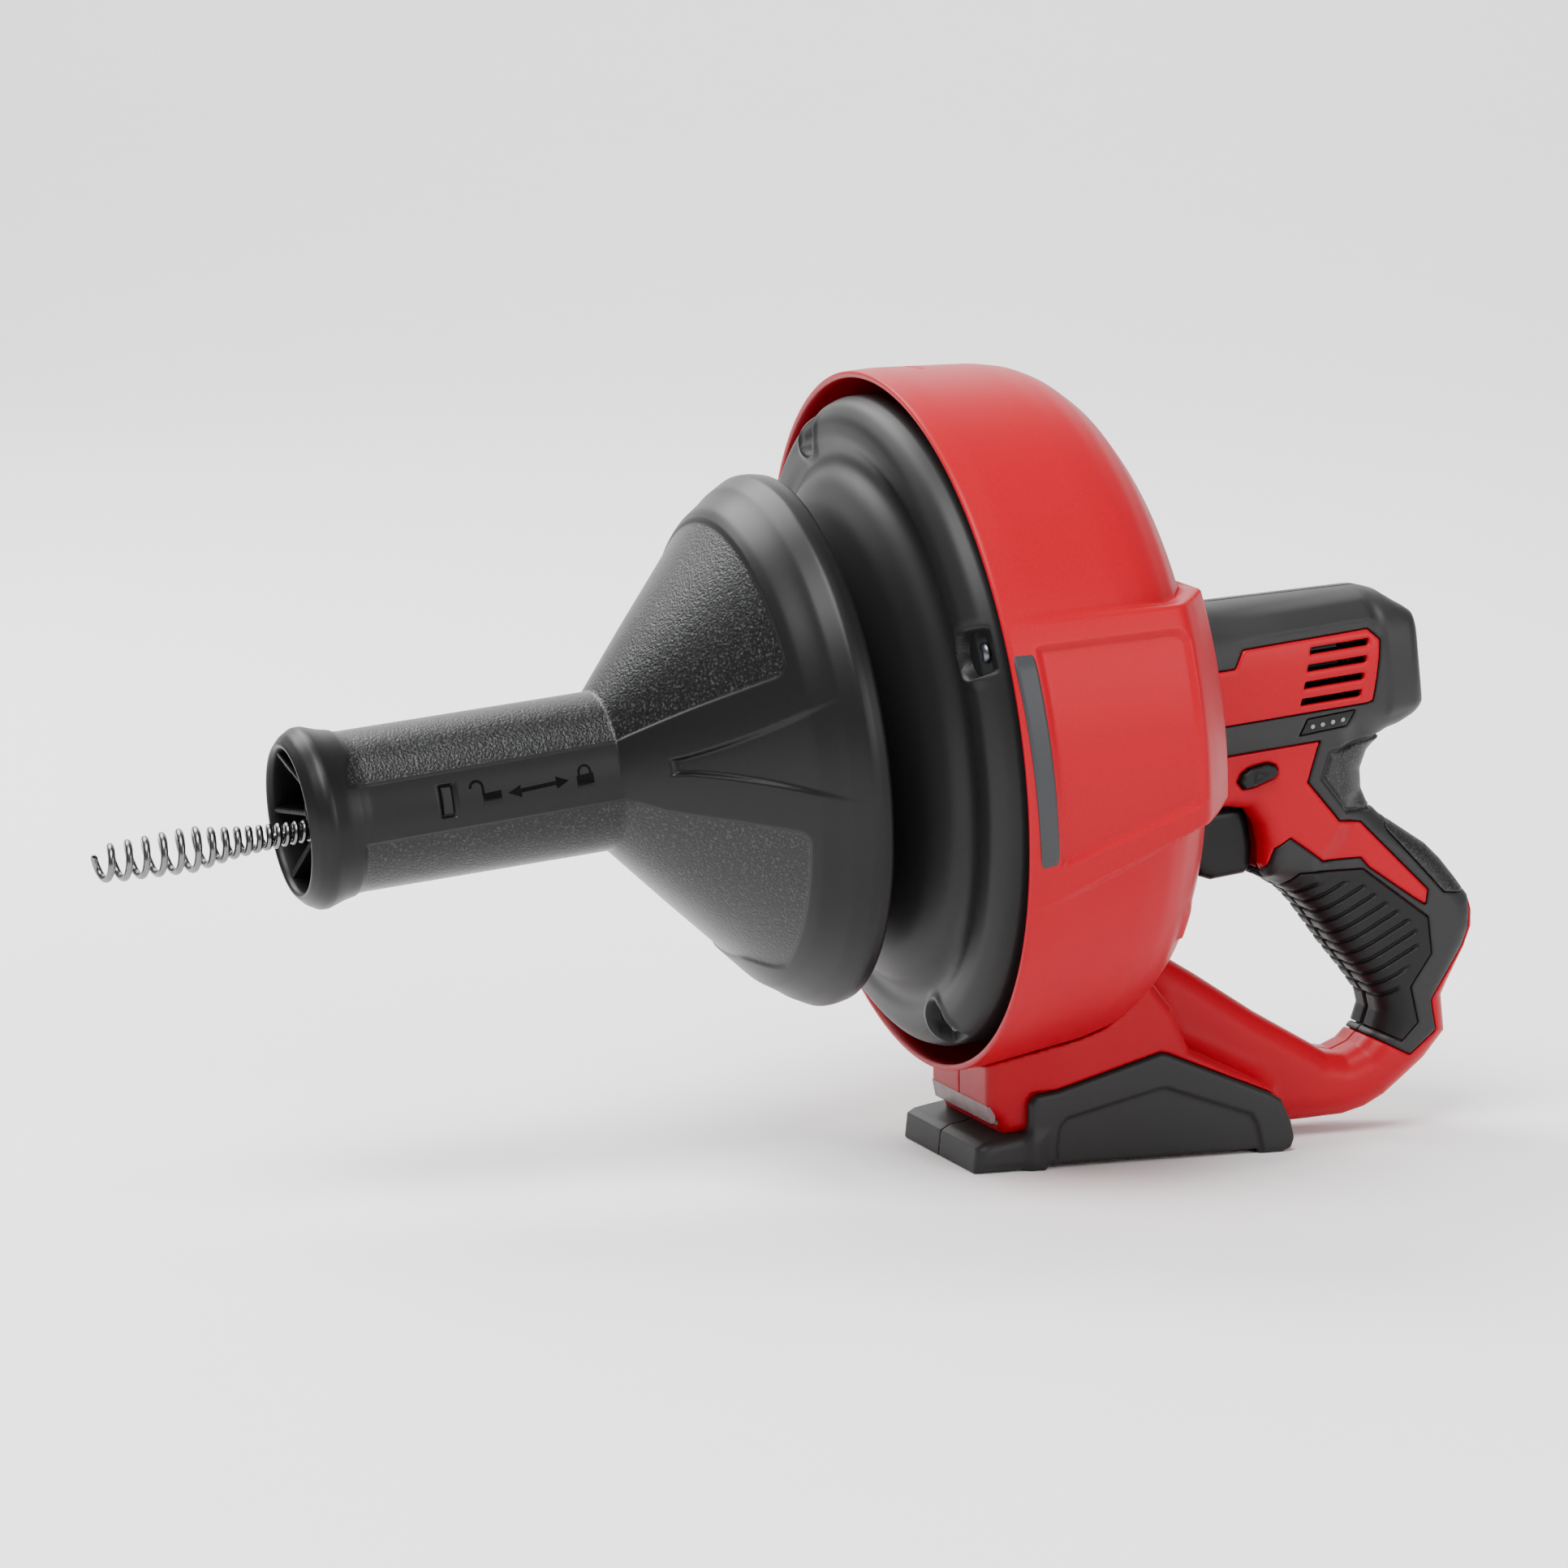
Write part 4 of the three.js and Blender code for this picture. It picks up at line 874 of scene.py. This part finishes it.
def housing_field():
    """The field of one housing half: the handle less the rooms for all that is set into it."""
    plate = upright(PLATE)

    def field(x, s, h):
        body = handle_body(x, s, h, ribs=False)
        pocket = np.maximum(skin_region(s, h, x, SEAM), -(body + SKIN_DEPTH - 0.3))
        selector = np.maximum(polygon_distance(SELECTOR, s, h) - 0.3, SELECTOR_X - x)
        foot = np.maximum(polygon_distance(plate, s, h) - 0.25, FOOT_X - x)
        vents = FAR
        for slot in VENTS:
            vents = np.minimum(vents, np.maximum(polygon_distance(slot, s, h), VENT_X - x))
        solid = cut_many(body, ROUNDING, -pocket, MIDDLE_GAP - x, -selector, -trigger_room(x, s, h),
                         -foot, -vents - 0.1)
        bore = np.hypot(x, h) - np.where(s < GEAR_ROOM_END, GEAR_ROOM_R, MOTOR_ROOM_R)
        solid = np.maximum(solid, -np.maximum(bore, s - MOTOR_ROOM_END))
        return np.maximum(solid, shroud_room(x, s, h))
    return field


def vent_shade_faces(points, faces):
    """1 for the faces down in the cooling vents, which are coloured as painted shade."""
    middle = face_centres(points, faces)
    x, s, h = middle.T
    near = np.full(len(x), FAR)
    for slot in VENTS:
        near = np.minimum(near, polygon_distance(slot, s, h))
    deep = handle_body(np.abs(x), s, h, ribs=False) < -2.2
    return ((near < 1.2) & deep).astype(int)


def handle_pieces(side, word):
    """One half of the housing with its skin, grip panel and palm pad."""
    def place(name, field, low, high, step, finishes, node, zones=None):
        """Mesh a field of the left side, mirrored when this half is the right one."""
        points, faces = net(field, low, high, step)
        marks = zones(points, faces) if zones else None
        if side < 0:
            points, faces = mirrored(points, faces)
        return piece(name, points, faces, finishes, node, zones=marks)

    # The faces deep in the vents take the second finish, a painted shade.
    place(f"{word}_housing_half", housing_field(), *HANDLE_BOX, 0.8, [red, painted_vent_shade],
          f"{word}_housing", vent_shade_faces)

    def skin(x, s, h):
        body = handle_body(x, s, h, ribs=False)
        shell = np.maximum(body, -(body + SKIN_DEPTH))
        grip = np.maximum(polygon_distance(GRIP_PANEL, s, h), GRIP_PANEL_X - x)
        palm = np.maximum(polygon_distance(PALM_PAD, s, h), PALM_X - x)
        gauge = np.maximum(polygon_distance(GAUGE, s, h), GAUGE_X - x) if side > 0 else FAR
        web = np.maximum(polygon_distance(WEB_PAD, s, h), PALM_X - x)
        groove = GROOVE_DEPTH * (1 - smooth(np.abs(web), 0.3, 1.1))
        cut = cut_many(shell + groove, ROUNDING, skin_region(s, h, x, -SEAM), SEAM - grip,
                       SEAM - palm, SEAM - gauge, MIDDLE_GAP - x, -trigger_room(x, s, h))
        return np.maximum(cut, shroud_room(x, s, h))

    def web_zone(points, faces):
        x, s, h = face_centres(points, faces).T
        return ((polygon_distance(WEB_PAD, s, h) < -0.5) & (x > PALM_X)).astype(int)

    place(f"{word}_soft_skin", skin, (0, 82, -156), (31, 222, 36), 0.75,
          [soft_black, grained_rubber], f"{word}_handle_skin", web_zone)

    def panel(x, s, h):
        body = handle_body(x, s, h)
        flat = handle_body(x, s, h, ribs=False)
        shell = np.maximum(body, -(flat + SKIN_DEPTH))
        area = np.maximum(polygon_distance(GRIP_PANEL, s, h) + SEAM, skin_region(s, h, x, -SEAM))
        return cut_many(shell, 0.8, area, GRIP_PANEL_X + SEAM - x)

    place(f"{word}_grip_rubber", panel, (0, 120, -150), (20, 198, -74), 0.6,
          [rubber], f"{word}_grip_panel")

    def palm(x, s, h):
        body = handle_body(x, s, h, ribs=False)
        shell = np.maximum(body, -(body + SKIN_DEPTH))
        return cut_many(shell, 0.8, polygon_distance(PALM_PAD, s, h) + SEAM, PALM_X + SEAM - x)

    place(f"{word}_palm_rubber", palm, (0, 176, -100), (20, 222, -56), 0.5, [grained_rubber],
          f"{word}_palm_pad")


handle_pieces(1, "left")
handle_pieces(-1, "right")


def gauge():
    """The battery gauge's window with its four lights."""
    def window(x, s, h):
        body = handle_body(x, s, h, ribs=False)
        shell = np.maximum(body, -(body + SKIN_DEPTH)) + 0.12
        return cut_many(shell, 0.5, polygon_distance(GAUGE, s, h) + 0.12, GAUGE_X + 0.1 - x)
    points, faces = net(window, (20, 145, -27), (31, 171, -16), 0.35)
    piece("gauge_window", points, faces, [smooth_black], "battery_gauge")

    def lights(x, s, h):
        body = handle_body(x, s, h, ribs=False)
        near = FAR
        for a, b in GAUGE_LIGHTS:
            near = np.minimum(near, np.hypot(s - a, h - b) - GAUGE_LIGHT_R)
        return np.maximum(np.maximum(body - 0.12, -(body + 0.9)), near)
    piece("gauge_lights", *net(lights, (20, 150, -24), (31, 166, -19), 0.22), [led],
          body="housing", slot="grey_rubber")


gauge()


TRIGGER = [(105.5, -50.2), (108, -48.9), (128.6, -48.9), (130.4, -56), (130.9, -66),
           (129.8, -72.8), (127, -75.4), (113.6, -75.7), (109, -73.6), (106.2, -69.4),
           (103.9, -62), (104, -55)]
TRIGGER_HALF = 10.4
SELECTOR_HALF = 23.9
SELECTOR_ARROW = [(127.6, -39.2), (128.2, -35.4), (132.9, -36.9)]


def trigger():
    """The trigger, a rounded block."""
    points, faces = net(lambda x, s, h: slab(TRIGGER, s, h, x, TRIGGER_HALF, 4.5),
                        (-11, 102, -78), (11, 133, -47), 0.6)
    piece("trigger_lever", points, faces, [smooth_black], "trigger")


trigger()


def selector():
    """The forward and reverse bar through the neck, with an arrow cut in each end."""
    def field(x, s, h):
        bar = slab(SELECTOR, s, h, x, SELECTOR_HALF, 1.4) + SEAM
        arrow = np.abs(polygon_distance(SELECTOR_ARROW, s, h)) - 0.22
        groove = np.maximum(arrow, SELECTOR_HALF - 0.5 - np.abs(x))
        return cut_to(bar, -groove, 0.25)
    points, faces = net(field, (-25, 120.5, -42.5), (25, 139, -32), 0.45)
    piece("direction_slider", points, faces, [rubber], "direction_selector")


selector()

# ---------------------------------------------------------------- feet and work light

FOOT_PANEL = [(31, -180), (31.8, -156.4), (33.8, -148.6), (37.2, -145.6), (74.2, -141),
              (77.4, -141.3), (109.8, -156.8), (112, -161.2), (114.4, -180)]
# As (y, height over the floor).
FRONT_PAD = [(52.6, 0.2), (79.3, 0.2), (80, 13.9), (68.9, 13.4), (56.6, 11.2), (53.6, 9.4)]
FOOT_HALF = 37.5
PANEL_SINK = 1.4
REAR_SOLE_Y = 168.8
REAR_SOLE_HALF = 4.5
REAR_SOLE_TOP = 3
REAR_SOLE_X = (18, 36)


def foot(side, word):
    """A foot bumper: the wedge at the front, the side plate with its sunk panel, the rear sole."""
    plate_outline = upright(PLATE)
    pad_outline = upright(FRONT_PAD)

    def field(x, s, h):
        y = AXIS_Y + s * COS - h * SIN
        z = AXIS_Z + s * SIN + h * COS
        plate = slab(plate_outline, s, h, x - 34.9, 2.6, 2.2)
        sunk = smooth(-polygon_distance(FOOT_PANEL, s, h), 0.0, 1.5)
        plate = cut_to(plate, x - FOOT_HALF + PANEL_SINK * sunk, 0.8)
        pad = slab(pad_outline, s, h, x, 37.4, 4)
        pad = cut_to(pad, (x - 37.4) * 0.8 + (54.5 - y) * 0.45, 2)
        sole = np.maximum(np.abs(y - REAR_SOLE_Y) - REAR_SOLE_HALF, z - REAR_SOLE_TOP)
        sole = np.maximum(sole, np.maximum(REAR_SOLE_X[0] - x, x - REAR_SOLE_X[1]))
        both = blend_in(blend_in(plate, pad, 4), sole, 1)
        return np.maximum(np.maximum(both, MIDDLE_GAP - x), -z)
    points, faces = net(field, (0, -2, -178), (39, 152, -118), 0.75)
    if side < 0:
        points, faces = mirrored(points, faces)
    piece(f"{word}_foot_bumper", points, faces, [soft_black], f"{word}_foot")


foot(1, "left")
foot(-1, "right")


def work_light():
    """The clear strip over the front foot."""
    outline = upright([(62, 16.5), (64, 16.5), (64, 22.9), (60.6, 22.9)])
    points, faces = net(lambda x, s, h: slab(outline, s, h, x, 27.6, 0.5),
                        (-30, 8, -149), (30, 16, -136), 0.3)
    piece("light_window", points, faces, [lens], "work_light_lens")


work_light()

# ---------------------------------------------------------------- finishes of the CAD nodes shown

for node, thing in frame["nodes"].items():
    if thing.type == "MESH":
        thing.data.materials.clear()
        thing.data.materials.append(SLOT_FINISH[SLOT_OF_NODE[node]])

# ---------------------------------------------------------------- floor and light


FLOOR_LINE = [(-14, 0), (3.2, 0), (4.0, 0.12), (4.6, 0.5), (4.9, 1.1), (5.0, 6.0)]
FLOOR_HALF = 13
FLOOR_TURN = 160


def floor():
    """A pale sheet that lies flat and curves up behind, in metres."""
    line = resampled(FLOOR_LINE, 0.25, 0.2)
    turn = Matrix.Rotation(math.radians(FLOOR_TURN), 4, "Z")
    points = [turn @ Vector((a, side, b)) for a, b in line for side in (-FLOOR_HALF, FLOOR_HALF)]
    faces = [[2 * i, 2 * i + 1, 2 * i + 3, 2 * i + 2] for i in range(len(line) - 1)]
    mesh = bpy.data.meshes.new("floor")
    mesh.from_pydata(points, [], faces)
    mesh.materials.append(pale)
    mesh.polygons.foreach_set("use_smooth", [True] * len(faces))
    made = bpy.data.objects.new("floor", mesh)
    bpy.context.scene.collection.objects.link(made)


floor()


def softbox(name, place, aim, size, power):
    """A rectangular light of size metres and power watts."""
    data = bpy.data.lights.new(name, "AREA")
    data.shape = "RECTANGLE"
    data.size, data.size_y = size
    data.energy = power
    lamp = bpy.data.objects.new(name, data)
    lamp.location = place
    lamp.rotation_mode = "QUATERNION"
    lamp.rotation_quaternion = (Vector(aim) - Vector(place)).to_track_quat("-Z", "Y")
    bpy.context.scene.collection.objects.link(lamp)


softbox("key", (0.9, -0.9, 2.4), (0, 0, 0.1), (1.6, 1.6), 138)
softbox("side", (2.4, 1.2, 1.0), (0, 0.05, 0.15), (0.9, 1.4), 34)
softbox("back", (-1.4, -0.6, 1.8), (0, 0, 0.15), (1.4, 1.4), 70)
softbox("backdrop", (-2.2, 0.7, 3.4), (-4.8, 1.7, 1.2), (2.4, 2.4), 190)
world = bpy.data.worlds.new("studio")
world.use_nodes = True
background = world.node_tree.nodes["Background"]
background.inputs["Color"].default_value = (1, 1, 1, 1)
background.inputs["Strength"].default_value = 0.35
bpy.context.scene.world = world
